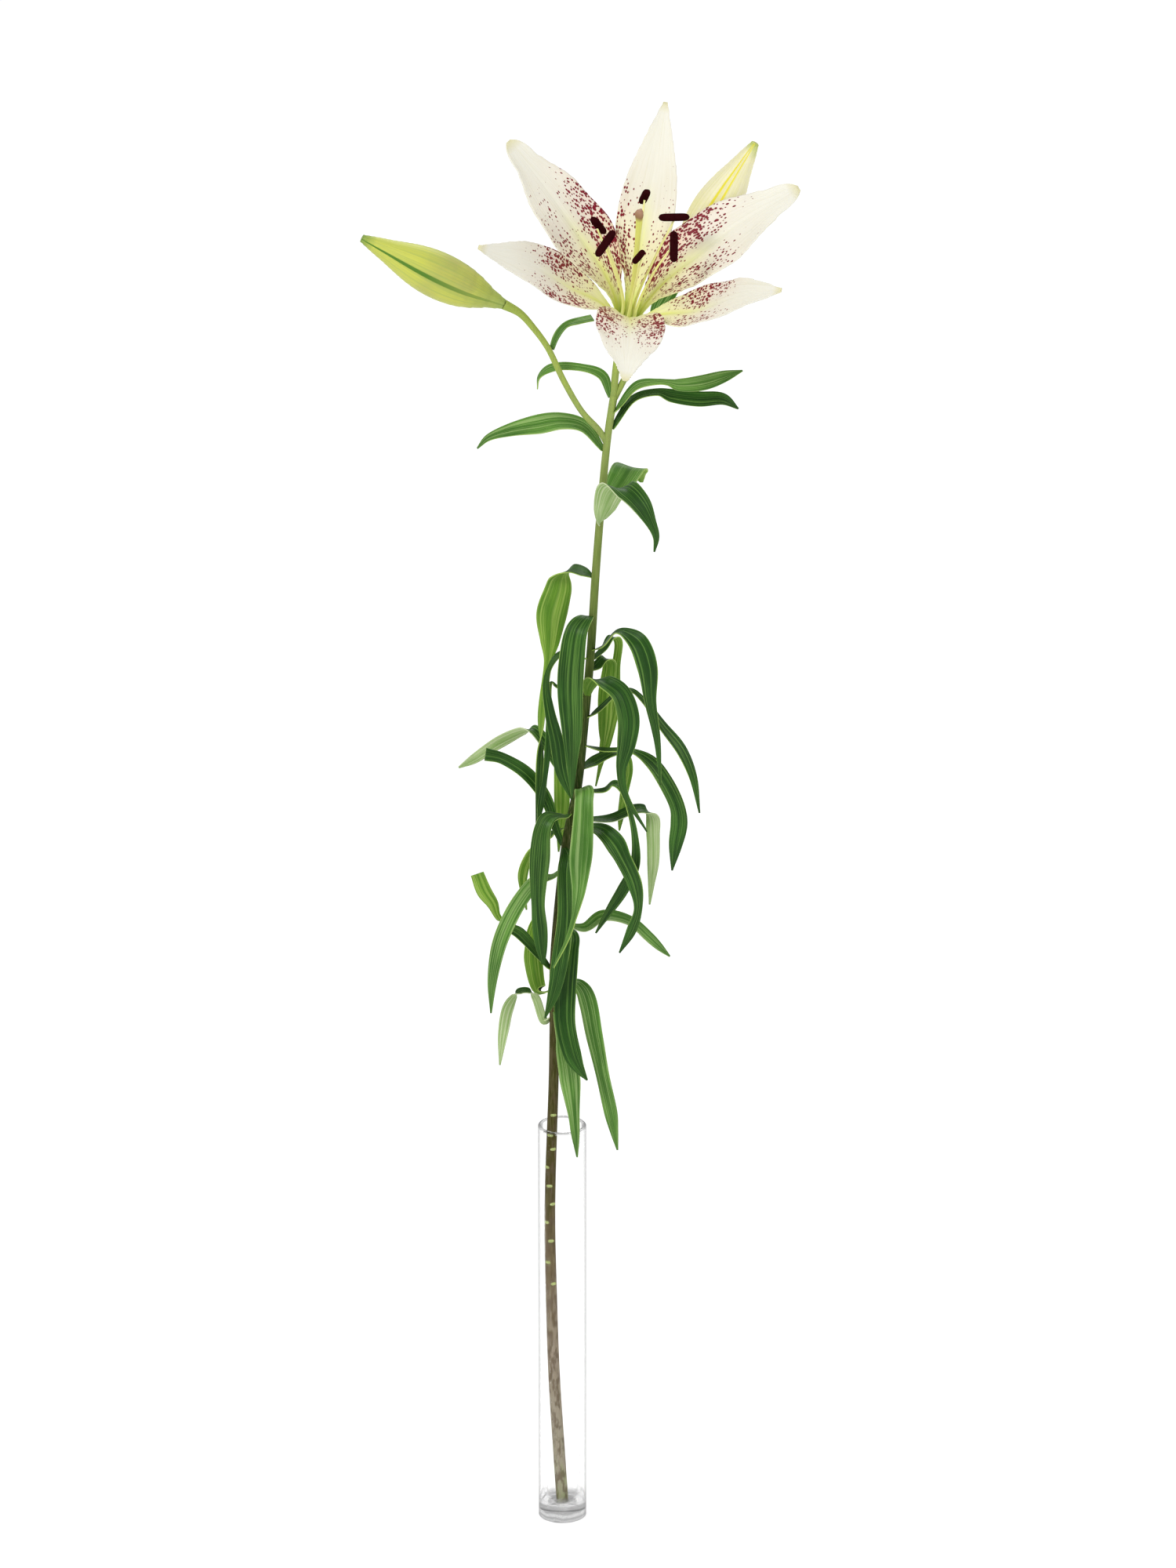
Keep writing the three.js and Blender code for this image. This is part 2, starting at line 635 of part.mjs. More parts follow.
const stemCurve = new THREE.CatmullRomCurve3(STEM.map(place), false, "centripetal");

// The stem's centre and radius at a height.
function stemAt(height) {
  let low = 0;
  let high = 1;
  for (let i = 0; i < 30; i += 1) {
    const middle = (low + high) / 2;
    if (stemCurve.getPointAt(middle).z < height) low = middle;
    else high = middle;
  }
  const next = STEM.findIndex((point) => point[2] >= height);
  const blend = (height - STEM[next - 1][2]) / (STEM[next][2] - STEM[next - 1][2]);
  return {
    centre: stemCurve.getPointAt(low),
    radius: THREE.MathUtils.lerp(STEM[next - 1][3], STEM[next][3], blend),
  };
}

function vase() {
  const outer = VASE_RADIUS;
  const inner = VASE_RADIUS - FOOT_WALL;
  const lip = LIP_WALL / 2;
  const profile = [new THREE.Vector2(0, 0), new THREE.Vector2(outer - FOOT_ROUND, 0)];
  const arc = (x, y, radius, from, to, steps) => {
    for (let i = 0; i <= steps; i += 1) {
      const angle = THREE.MathUtils.lerp(from, to, i / steps) * TURN;
      profile.push(new THREE.Vector2(x + radius * Math.cos(angle), y + radius * Math.sin(angle)));
    }
  };
  arc(outer - FOOT_ROUND, FOOT_ROUND, FOOT_ROUND, -60, 0, 2);
  arc(outer - lip, VASE_HEIGHT - lip, lip, 0, 180, 4);
  arc(inner - FLOOR_FILLET, VASE_FLOOR + FLOOR_FILLET, FLOOR_FILLET, 0, -90, 6);
  profile.push(new THREE.Vector2(0, VASE_FLOOR));
  const geometry = new THREE.LatheGeometry(profile, VASE_SIDES);
  geometry.rotateX(Math.PI / 2);
  return mesh("vase", geometry, GLASS);
}

// The stem with the stalks that fork from it, which grew as one piece.
function stem() {
  const joined = [
    taperedRod(BLOOM_STALK, STEM_SIDES, 10),
    taperedRod(LEFT_STALK, STEM_SIDES, 14),
    taperedRod(RIGHT_STALK, STEM_SIDES, 9),
  ].reduce((body, stalk) => body.add(solid(stalk)), solid(taperedRod(STEM, STEM_SIDES, STEM_STEPS)));
  return mesh("stem", geometryOf(joined), STEM_GREEN);
}

// A bud: six tepals still closed into one spindle, with three grooves along it.
function bud(name, points, radius, finish) {
  const curve = new THREE.CatmullRomCurve3(points.map(place), false, "centripetal");
  const geometry = rod(curve, BUD_SIDES, BUD_STEPS, (share, angle) => {
    const grooves = 1 - BUD_GROOVE * (0.5 - 0.5 * Math.cos(3 * angle)) ** 3;
    return radius * along(BUD_OUTLINE, share) * grooves;
  });
  return mesh(name, geometry, finish);
}

// The bloom's own axes: x right, y back, z the way it faces.
function bloomFrame() {
  const right = new THREE.Vector3(1, 0, 0);
  right.addScaledVector(BLOOM_FACING, -right.dot(BLOOM_FACING)).normalize();
  const back = BLOOM_FACING.clone().cross(right);
  return new THREE.Matrix4().makeBasis(right, back, BLOOM_FACING).setPosition(BLOOM_SEAT);
}
const inBloom = bloomFrame();

// A tepal grows along the axis and then flares. Its upper face looks inwards and up.
function tepal({ name, compass, wide, roll, profile }) {
  const outward = direction(compass);
  const centres = profile.map(([out, up]) => outward.clone().multiplyScalar(out).setZ(up));
  const ups = profile.map((_, i) => {
    const opened = i / (profile.length - 1);
    const inward = outward.clone().multiplyScalar(-1 + TEPAL_LEAN.inward * opened);
    const facing = inward.setZ(TEPAL_LEAN.up + opened);
    return facing.applyAxisAngle(outward, roll * TURN * opened ** 2);
  });
  const outline = wide === OUTER_WIDTH ? OUTER_OUTLINE : INNER_OUTLINE;
  const rows = bladeRows(centres, ups, 3, (share) => (wide / 2) * along(outline, share));
  const channel = (share, u) =>
    u * u * THREE.MathUtils.lerp(...TEPAL_CHANNEL, Math.min(1, share * CHANNEL_OPENS));
  const geometry = blade(rows, TEPAL_ACROSS, TEPAL_THICK, channel).applyMatrix4(inBloom);
  return mesh(name, geometry, TEPAL_CREAM);
}

function filamentCurve({ tip }) {
  const [x, y, z] = tip;
  const ring = direction(Math.atan2(y, x) / TURN).multiplyScalar(FILAMENT_RING);
  const points = [
    ring.clone().setZ(BLOOM_CLEAR),
    ring.clone().multiplyScalar(FILAMENT_LOW.out).setZ(z * FILAMENT_LOW.up),
    new THREE.Vector3(x * FILAMENT_HIGH.out, y * FILAMENT_HIGH.out, z * FILAMENT_HIGH.up),
    new THREE.Vector3(x, y, z),
  ];
  return new THREE.CatmullRomCurve3(points, false, "centripetal");
}

function filament(stamen, index) {
  const taper = (share) => FILAMENT_RADIUS * (1 - FILAMENT_TAPER * share);
  const geometry = rod(filamentCurve(stamen), 6, 8, taper).applyMatrix4(inBloom);
  return mesh(`filament_${index + 1}`, geometry, FILAMENT_YELLOW);
}

// An anther balances across the filament's tip, a little clear of it.
function anther(stamen, index) {
  const curve = filamentCurve(stamen);
  const lies = place(stamen.lies).normalize();
  const away = curve.getTangentAt(1);
  away.addScaledVector(lies, -away.dot(lies));
  const centre = curve.getPointAt(1).addScaledVector(away.normalize(), ANTHER_RADIUS + ANTHER_CLEAR);
  const straight = ANTHER_LENGTH - 2 * ANTHER_RADIUS;
  const geometry = closed(new THREE.CapsuleGeometry(ANTHER_RADIUS, straight, 3, 8, 1));
  geometry.applyQuaternion(new THREE.Quaternion().setFromUnitVectors(new THREE.Vector3(0, 1, 0), lies));
  geometry.translate(centre.x, centre.y, centre.z);
  return mesh(`anther_${index + 1}`, geometry.applyMatrix4(inBloom), ANTHER_BROWN);
}

// Ovary, style and three-lobed stigma in one.
function pistil() {
  const curve = new THREE.CatmullRomCurve3(PISTIL.map(place), false, "centripetal");
  const geometry = rod(curve, 12, PISTIL_OUTLINE.length - 1, (share, angle) => {
    const lobed = THREE.MathUtils.smoothstep(share, STIGMA_FROM, 1);
    return along(PISTIL_OUTLINE, share) * (1 + STIGMA_LOBES * Math.cos(3 * angle) * lobed);
  });
  return mesh("pistil", geometry.applyMatrix4(inBloom), PISTIL_GREEN);
}

// A leaf or bract: a long pointed blade with a shallow channel.
function leafBlade(name, path) {
  const centres = path.map(place);
  const ups = path.map((row) => direction(row[3], row[4]));
  const widths = path.map((row) => row[5]);
  const rows = bladeRows(centres, ups, 2, (share, spot) => along(widths, spot) / 2);
  const channel = (share, u) =>
    LEAF_CHANNEL * Math.abs(u) * Math.sin(Math.PI * Math.min(1, share * 1.2 + 0.05));
  return mesh(name, blade(rows, 2, LEAF_THICK, channel), LEAF_GREEN);
}

// A leaf of the stem starts just clear of its surface, on the side that its compass gives.
function leaf({ height, compass, path }, index) {
  const { centre, radius } = stemAt(height);
  const root = centre.addScaledVector(direction(compass), radius + GAP + ROOT_WIDTH / 2);
  const rows = [[...root.toArray(), compass, ROOT_LIFT, ROOT_WIDTH], ...path];
  return leafBlade(`leaf_${String(index + 1).padStart(2, "0")}`, rows);
}

const plant = new THREE.Group();
plant.position.copy(PLANT_AT);
plant.add(stem());
plant.add(bud("bud_left", LEFT_BUD, LEFT_BUD_RADIUS, BUD_GREEN));
plant.add(bud("bud_right", RIGHT_BUD, RIGHT_BUD_RADIUS, BUD_CREAM));
plant.add(...TEPALS.map(tepal));
plant.add(...STAMENS.map(filament), ...STAMENS.map(anther), pistil());
plant.add(...LEAVES.map(leaf));
plant.add(...BRACTS.map(({ name, path }) => leafBlade(name, path)));

const lily = new THREE.Group();
lily.add(vase(), plant);

export default lily;
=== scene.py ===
import math
from itertools import accumulate
from random import Random

import bmesh
import bpy
from mathutils import Matrix, Vector
from mathutils.geometry import interpolate_bezier


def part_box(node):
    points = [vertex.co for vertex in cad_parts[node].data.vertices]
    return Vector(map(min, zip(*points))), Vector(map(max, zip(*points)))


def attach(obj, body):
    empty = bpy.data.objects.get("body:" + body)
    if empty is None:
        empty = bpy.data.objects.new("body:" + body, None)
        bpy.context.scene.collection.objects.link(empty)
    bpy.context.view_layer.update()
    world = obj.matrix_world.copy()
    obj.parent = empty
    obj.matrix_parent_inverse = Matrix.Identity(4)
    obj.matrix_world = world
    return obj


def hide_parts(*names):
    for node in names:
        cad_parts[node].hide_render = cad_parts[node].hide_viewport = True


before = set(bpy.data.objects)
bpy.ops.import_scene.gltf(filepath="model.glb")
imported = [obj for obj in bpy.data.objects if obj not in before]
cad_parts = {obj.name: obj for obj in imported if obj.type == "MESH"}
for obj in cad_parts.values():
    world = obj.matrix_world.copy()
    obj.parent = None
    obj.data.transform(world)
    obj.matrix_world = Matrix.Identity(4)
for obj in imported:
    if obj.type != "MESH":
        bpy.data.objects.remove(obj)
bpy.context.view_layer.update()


# ---- Vase ----
# A straight tube of clear drawn glass with a thick floor, its wall thicker at the foot than at the
# lip. The foot's edge is ground round and the lip is melted round. It holds no water.
MM = 0.001
LIP_WALL = 2.4 * MM
FOOT_WALL = 3.4 * MM
VASE_FLOOR = 8 * MM
FOOT_ROUND = 0.7 * MM
LIP_ROUND = LIP_WALL * 0.49  # under half, so that its two roundings stay apart
FLOOR_FILLET = 9 * MM  # the floor is a shallow bowl
VASE_SIDES = 96
ROUNDING_STEPS = 6
FOOT_REACH = 26 * MM  # how far up the thick glass of the foot shows
SAME_PLACE = 1e-7  # vertices closer together than this are merged
vase_radius, _, vase_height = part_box("vase")[1]
lip_inner = vase_radius - LIP_WALL
foot_inner = vase_radius - FOOT_WALL


def node(material, kind, sockets=None, **settings):
    """A shader node. Each socket is given a plain value or another node's output."""
    made = material.node_tree.nodes.new("ShaderNode" + kind)
    for key, value in settings.items():
        setattr(made, key, value)
    for key, value in (sockets or {}).items():
        if isinstance(value, bpy.types.NodeSocket):
            material.node_tree.links.new(value, made.inputs[key])
        else:
            made.inputs[key].default_value = value
    return made


def new_material(name):
    material = bpy.data.materials.new(name)
    material.use_nodes = True
    material.node_tree.nodes.clear()
    return material


def finish_surface(material, sockets):
    """Ends a material in the Principled shader, and returns it."""
    shader = node(material, "BsdfPrincipled", sockets)
    node(material, "OutputMaterial", {"Surface": shader.outputs[0]})
    return material


def ramp(material, factor, stops):
    """A colour ramp: stops are (place, colour)."""
    made = node(material, "ValToRGB", {"Fac": factor})
    elements = made.color_ramp.elements
    while len(elements) < len(stops):
        elements.new(1)
    for element, (place, colour) in zip(elements, stops):
        element.position = place
        element.color = (*colour, 1)
    return made.outputs["Color"]


def levels(material, factor, stops):
    """A grey ramp: stops are (place, value)."""
    return ramp(material, factor, [(place, (value,) * 3) for place, value in stops])


def new_object(name, data):
    made = bpy.data.objects.new(name, data)
    bpy.context.scene.collection.objects.link(made)
    return made


def mesh_object(name, bm, materials):
    """An object at the origin, made from a bmesh, which it frees."""
    mesh = bpy.data.meshes.new(name)
    bm.to_mesh(mesh)
    bm.free()
    for material in materials:
        mesh.materials.append(material)
    return new_object(name, mesh)


def new_piece(name, bm, materials, node_name):
    """A finished smooth piece, riding on the one body of plant and vase."""
    piece = mesh_object(name, bm, materials)
    piece.data.polygons.foreach_set("use_smooth", [True] * len(piece.data.polygons))
    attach(piece, "root")
    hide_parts(node_name)
    return piece


def ring_edges(bm, radius, height):
    """The edges of the ring at a radius and height."""
    reach = 1e-6
    on_ring = {
        v for v in bm.verts
        if abs(math.hypot(v.co.x, v.co.y) - radius) < reach and abs(v.co.z - height) < reach
    }
    return [e for e in bm.edges if e.verts[0] in on_ring and e.verts[1] in on_ring]


def calc(material, operation, *values, clamp=False):
    """A Math node's result."""
    made = node(material, "Math", dict(enumerate(values)), operation=operation)
    made.use_clamp = clamp
    return made.outputs[0]


def times(material, first, second, clamp=False):
    return calc(material, "MULTIPLY", first, second, clamp=clamp)


def noise(material, coordinates, scale, detail):
    """Noise from 0 to 1, with so many patches to a unit of the coordinates."""
    made = node(material, "TexNoise", {"Vector": coordinates, "Scale": scale, "Detail": detail})
    return made.outputs["Fac"]


def vase_glass():
    """Clear glass: almost unseen face on; painted grey reflections make it greyer edge on, at the lip
    and, in bands, in the foot.
    """
    glass = new_material("clear_glass")
    edge_on = node(glass, "LayerWeight", {"Blend": 0.5}).outputs["Facing"]
    place = node(glass, "TexCoord").outputs["Object"]
    level = node(glass, "SeparateXYZ", {"Vector": place}).outputs["Z"]
    ripple = calc(glass, "SUBTRACT", noise(glass, place, 160, 2.0), 0.5)
    low = calc(glass, "MULTIPLY_ADD", ripple, 0.12, calc(glass, "DIVIDE", level, FOOT_REACH))
    from_lip = calc(glass, "DIVIDE", calc(glass, "SUBTRACT", vase_height, level), LIP_WALL, clamp=True)
    # Grey bands up the thick foot: painted reflection of the surroundings in the glass.
    bands = levels(glass, low, [
        (0.0, 0.08), (0.04, 0.45), (0.11, 0.2), (0.17, 0.7), (0.24, 0.18), (0.36, 0.4),
        (0.46, 0.85), (0.8, 1.0),
    ])
    # The glass's grey colour is painted reflection, strongest edge on and towards the lip.
    painted_grey_reflection = levels(glass, edge_on, [(0.0, 0.99), (0.55, 0.85), (0.72, 0.3), (1.0, 0.02)])
    painted_grey_reflection = times(glass, painted_grey_reflection, bands)
    painted_grey_reflection = times(glass, painted_grey_reflection, levels(glass, from_lip, [(0.3, 0.2), (0.8, 1.0)]))
    body = levels(glass, edge_on, [(0.0, 0.0), (0.52, 0.02), (0.68, 0.75), (1.0, 1.0)])
    body = calc(glass, "MAXIMUM", body, levels(glass, low, [(0.36, 0.95), (0.6, 0.0)]))
    body = calc(glass, "MAXIMUM", body, levels(glass, from_lip, [(0.3, 0.75), (0.8, 0.0)]))
    return finish_surface(glass, {
        "Base Color": painted_grey_reflection, "Alpha": body, "Roughness": 0.0, "IOR": 1.5, "Transmission Weight": 1.0,
    })


bm = bmesh.new()
# Half of the section, from the middle of the foot round to the middle of the floor.
corners = [
    (0, 0), (vase_radius, 0), (vase_radius, vase_height),
    (lip_inner, vase_height), (foot_inner, VASE_FLOOR), (0, VASE_FLOOR),
]
profile = [bm.verts.new((x, 0, z)) for x, z in corners]
sides = [bm.edges.new(pair) for pair in zip(profile, profile[1:])]
bmesh.ops.spin(
    bm, geom=profile + sides, axis=(0, 0, 1), cent=(0, 0, 0), angle=math.tau, steps=VASE_SIDES,
    use_merge=True,
)
bmesh.ops.remove_doubles(bm, verts=bm.verts, dist=SAME_PLACE)
bmesh.ops.recalc_face_normals(bm, faces=bm.faces)
for radius, height, rounding in (
    (vase_radius, 0, FOOT_ROUND),
    (vase_radius, vase_height, LIP_ROUND),
    (lip_inner, vase_height, LIP_ROUND),
    (foot_inner, VASE_FLOOR, FLOOR_FILLET),
):
    bmesh.ops.bevel(
        bm, geom=ring_edges(bm, radius, height), offset=rounding, segments=ROUNDING_STEPS,
        profile=0.5, affect="EDGES", material=-1,
    )
new_piece("glass_cylinder", bm, [vase_glass()], "vase")


# ---- Stem ----
# One green shoot, woody and brown low down, with the three flower stalks that fork from it. Its
# points are [x, y, z, radius] in millimetres, upwards from the cut end by the vase's floor. Every
# place on the plant is measured from PLANT_AT, and the whole plant stands forward in the vase.
RIGHT = Vector((1, 0, 0))
BACK = Vector((0, 1, 0))
PLANT_AT = Vector((0, -11, 3.8)) * MM
STEM = [
    [0, 8, 5.6, 3.6], [-2, 8, 38, 3.6], [-5, 8, 90, 3.5], [-6.5, 8, 140, 3.4],
    [-7.4, 7.8, 186, 3.3], [-7, 7, 218, 3.2], [-6, 6.3, 250, 3.1], [-5, 6.8, 282, 3],
    [-4.5, 7, 325, 2.9], [-4.5, 8, 352, 2.9], [-1, 9, 400, 2.8], [3, 9.6, 434, 2.7],
    [9, 10.5, 465, 2.7], [13, 11.4, 503, 2.6], [17, 12, 550, 2.5], [20, 12.4, 600, 2.4],
    [23, 13, 640, 2.3], [27, 13.5, 684, 2.2], [30.5, 14.5, 708, 2.3],
]
BLOOM_STALK = [
    [30, 14.3, 704, 2.1], [31.5, 16, 722, 2.1], [33.5, 16.2, 736, 2.3], [36.2, 13.8, 745, 4.2],
    [37, 12, 748.7, 6.4],
]
LEFT_STALK = [
    [26.5, 13.4, 679, 1.9], [22, 12.5, 687, 1.9], [12, 11.5, 699, 1.8], [1.5, 10.5, 718, 1.8],
    [-8, 9.5, 739, 1.8], [-16, 8.5, 751, 1.9], [-24, 7.5, 760.5, 2.2], [-33.2, 6.5, 766.2, 3],
]
RIGHT_STALK = [
    [30.2, 14.4, 705, 1.9], [35, 17, 714, 1.9], [43, 22, 728.5, 1.8], [54, 28, 751, 2],
    [68, 32, 773.5, 3],
]
# Scars of fallen leaves on the bare stem: the height and compass side of each.
SCARS = [
    (150, -60), (164, -120), (178, -80), (190, -130), (202, -60), (214, -100), (226, -140),
    (238, -70), (247, -110), (260, -80),
]
SCAR_SIZE = 1.5 * MM
SCAR_FORM = (0.4, 1.25, 0.7)  # how far it stands out, its width and its height, in SCAR_SIZE
SCAR_SUNK = 0.25
STEM_SIDES = 24
STEM_STEPS = 10
STALK_SIDES = 20
STALK_STEPS = 8
GREEN_HEIGHT = 750 * MM  # where the stem comes to the last of its colours


def smooth_path(points, steps):
    """Points on a centripetal Catmull-Rom curve through these, so many steps to a span."""
    points = [Vector(point[:3]) for point in points]
    points = [points[0] * 2 - points[1], *points, points[-1] * 2 - points[-2]]
    path = [points[1]]
    for before, start, end, after in zip(points, points[1:], points[2:], points[3:]):
        first, span, last = (
            math.sqrt((b - a).length) for a, b in ((before, start), (start, end), (end, after))
        )
        middle = (end - start) / span
        leaving = (start - before) / first - (end - before) / (first + span) + middle
        arriving = middle - (after - start) / (span + last) + (after - end) / last
        handles = start + leaving * span / 3, end - arriving * span / 3
        path += interpolate_bezier(start, *handles, end, steps + 1)[1:]
    return path


def smooth_values(values, steps):
    """Numbers on a Catmull-Rom curve through these, in step with smooth_path."""
    apart = 1000  # so wide that the numbers don't change the spacing
    line = smooth_path([(i * apart, value, 0) for i, value in enumerate(values)], steps)
    return [point.y for point in line]


def shares_along(path):
    """How far along a path each of its points is, from 0 to 1."""
    travelled = [0, *accumulate((b - a).length for a, b in zip(path, path[1:]))]
    return [distance / travelled[-1] for distance in travelled]


def bend_grid(across, path, shape):
    """A bmesh grid laid along a path. `shape(u, row)` gives each vertex. Its UV runs from 0 to 1
    across it and along it."""
    bm = bmesh.new()
    flat = bm.loops.layers.uv.new("UVMap")
    rows = len(path) - 1
    shares = shares_along(path)
    bmesh.ops.create_grid(bm, x_segments=across, y_segments=rows, size=1, calc_uvs=True)
    for vertex in bm.verts:
        row = round((vertex.co.y + 1) / 2 * rows)
        for loop in vertex.link_loops:
            loop[flat].uv.y = shares[row]
        vertex.co = shape(vertex.co.x, row) * MM
    return bm


def rod(points, sides, steps, reference, radius_at=None):
    """A closed round rod along [x, y, z, radius] points. Its seam faces the reference direction."""
    path = smooth_path(points, steps)
    shares = shares_along(path)
    radii = smooth_values([point[3] for point in points], steps)

    def shape(u, row):
        tangent = (path[min(row + 1, len(path) - 1)] - path[max(row - 1, 0)]).normalized()
        side = tangent.cross(reference).normalized()
        angle = u * math.pi
        reach = radii[row] * (radius_at(shares[row], angle) if radius_at else 1)
        return path[row] + (side * math.sin(angle) - side.cross(tangent) * math.cos(angle)) * reach

    bm = bend_grid(sides, path, shape)
    bmesh.ops.remove_doubles(bm, verts=bm.verts, dist=SAME_PLACE)
    bmesh.ops.holes_fill(bm, edges=[e for e in bm.edges if e.is_boundary])
    bmesh.ops.recalc_face_normals(bm, faces=bm.faces)
    return bm


def joined(meshes):
    """One bmesh holding all of these, which it frees."""
    whole = bmesh.new()
    for bm in meshes:
        part = bpy.data.meshes.new("part")
        bm.to_mesh(part)
        bm.free()
        whole.from_mesh(part)
        bpy.data.meshes.remove(part)
    return whole


def direction(compass, lift=0):
    """A unit vector from a compass direction and a lift above level, in degrees."""
    turn, tilt = math.radians(compass), math.radians(lift)
    level = math.cos(tilt)
    return Vector((level * math.cos(turn), level * math.sin(turn), math.sin(tilt)))


def plant_piece(name, bm, materials, node_name):
    """A finished piece of the plant, carried to where the plant stands."""
    bmesh.ops.translate(bm, verts=bm.verts, vec=PLANT_AT)
    return new_piece(name, bm, materials, node_name)


def stem_at(height):
    """The stem's centre and radius at a height, in millimetres."""
    following = next(i for i, point in enumerate(STEM) if point[2] >= height)
    low, high = STEM[following - 1], STEM[following]
    share = (height - low[2]) / (high[2] - low[2])
    centre = Vector(low[:3]).lerp(Vector(high[:3]), share)
    return centre, low[3] + (high[3] - low[3]) * share


def scaled(material, coordinates, scale):
    """Coordinates times a scale of their own in each direction."""
    made = node(material, "VectorMath", {0: coordinates, 1: scale}, operation="MULTIPLY")
    return made.outputs["Vector"]


def blend(material, factor, first, second):
    """Two colours mixed, second over first."""
    made = node(material, "Mix", data_type="RGBA")
    for key, value in ((0, factor), (6, first), (7, second)):
        if isinstance(value, bpy.types.NodeSocket):
            material.node_tree.links.new(value, made.inputs[key])
        else:
            made.inputs[key].default_value = value if key == 0 else (*value, 1)
    return made.outputs[2]


def bump(material, height, strength, distance):
    sockets = {"Height": height, "Strength": strength, "Distance": distance}
    return node(material, "Bump", sockets).outputs[0]


def flesh(material, colour, roughness, gloss, normal, depth, weight=0.1):
    """A plant's surface. Red, green and blue light go in by the three depths, in metres."""
    return finish_surface(material, {
        "Base Color": colour, "Roughness": roughness, "Specular IOR Level": gloss, "Normal": normal,
        "Subsurface Weight": weight, "Subsurface Radius": depth,
    })


def stem_skin():
    """Pale and woody at the foot, dark green above the vase's lip and fresh green at the top."""
    skin = new_material("stem_skin")
    place = node(skin, "TexCoord").outputs["Object"]
    level = node(skin, "SeparateXYZ", {"Vector": place}).outputs["Z"]
    mottle = noise(skin, scaled(skin, place, (700, 700, 90)), 1.0, 4.0)
    uneven = times(skin, calc(skin, "SUBTRACT", mottle, 0.5), 0.12)
    share = calc(skin, "DIVIDE", calc(skin, "ADD", level, uneven), GREEN_HEIGHT, clamp=True)
    colour = ramp(skin, share, [
        (0.0, (0.3, 0.34, 0.18)), (0.05, (0.32, 0.29, 0.22)), (0.14, (0.3, 0.25, 0.19)),
        (0.22, (0.15, 0.11, 0.06)), (0.29, (0.055, 0.045, 0.008)), (0.5, (0.036, 0.04, 0.005)),
        (0.66, (0.022, 0.05, 0.005)), (0.8, (0.14, 0.2, 0.04)), (0.93, (0.26, 0.34, 0.09)),
        (1.0, (0.33, 0.42, 0.08)),
    ])
    streaks = noise(skin, scaled(skin, place, (2600, 2600, 60)), 1.0, 2.0)
    flecks = levels(skin, streaks, [(0.5, 0.0), (0.66, 0.4)])
    colour = blend(skin, flecks, colour, (0.24, 0.22, 0.1))
    patches = noise(skin, scaled(skin, place, (1, 1, 0.35)), 420, 4.0)
    bark = levels(skin, patches, [(0.46, 0.0), (0.6, 0.7)])
    bark = times(skin, bark, levels(skin, share, [(0.3, 1.0), (0.5, 0.0)]))
    colour = blend(skin, bark, colour, (0.1, 0.07, 0.04))
    relief = bump(skin, streaks, 0.35, 0.0004)
    return flesh(skin, colour, 0.6, 0.1, relief, (0.001, 0.0015, 0.0005))


def scar_skin():
    skin = new_material("leaf_scar")
    place = node(skin, "TexCoord").outputs["Object"]
    fleck = noise(skin, place, 1800, 3.0)
    colour = ramp(skin, fleck, [(0.35, (0.22, 0.28, 0.07)), (0.6, (0.46, 0.52, 0.2))])
    return finish_surface(skin, {"Base Color": colour, "Roughness": 0.8})


def scar(height, compass):
    """A low oval mark where a leaf fell off, half sunk in the stem."""
    centre, radius = stem_at(height)
    bm = bmesh.new()
    bmesh.ops.create_uvsphere(bm, u_segments=16, v_segments=8, radius=SCAR_SIZE)
    for face in bm.faces:
        face.material_index = 1
    bmesh.ops.scale(bm, verts=bm.verts, vec=SCAR_FORM)
    bmesh.ops.rotate(bm, verts=bm.verts, matrix=Matrix.Rotation(math.radians(compass), 3, "Z"))
    place = centre + direction(compass) * (radius - SCAR_SUNK)
    bmesh.ops.translate(bm, verts=bm.verts, vec=place * MM)
    return bm


stem_parts = [
    rod(STEM, STEM_SIDES, STEM_STEPS, BACK),
    rod(BLOOM_STALK, STEM_SIDES, STALK_STEPS, RIGHT),
    rod(LEFT_STALK, STALK_SIDES, STALK_STEPS, BACK),
    rod(RIGHT_STALK, STALK_SIDES, STALK_STEPS, RIGHT),
    *(scar(*mark) for mark in SCARS),
]
plant_piece("shoot", joined(stem_parts), [stem_skin(), scar_skin()], "stem")


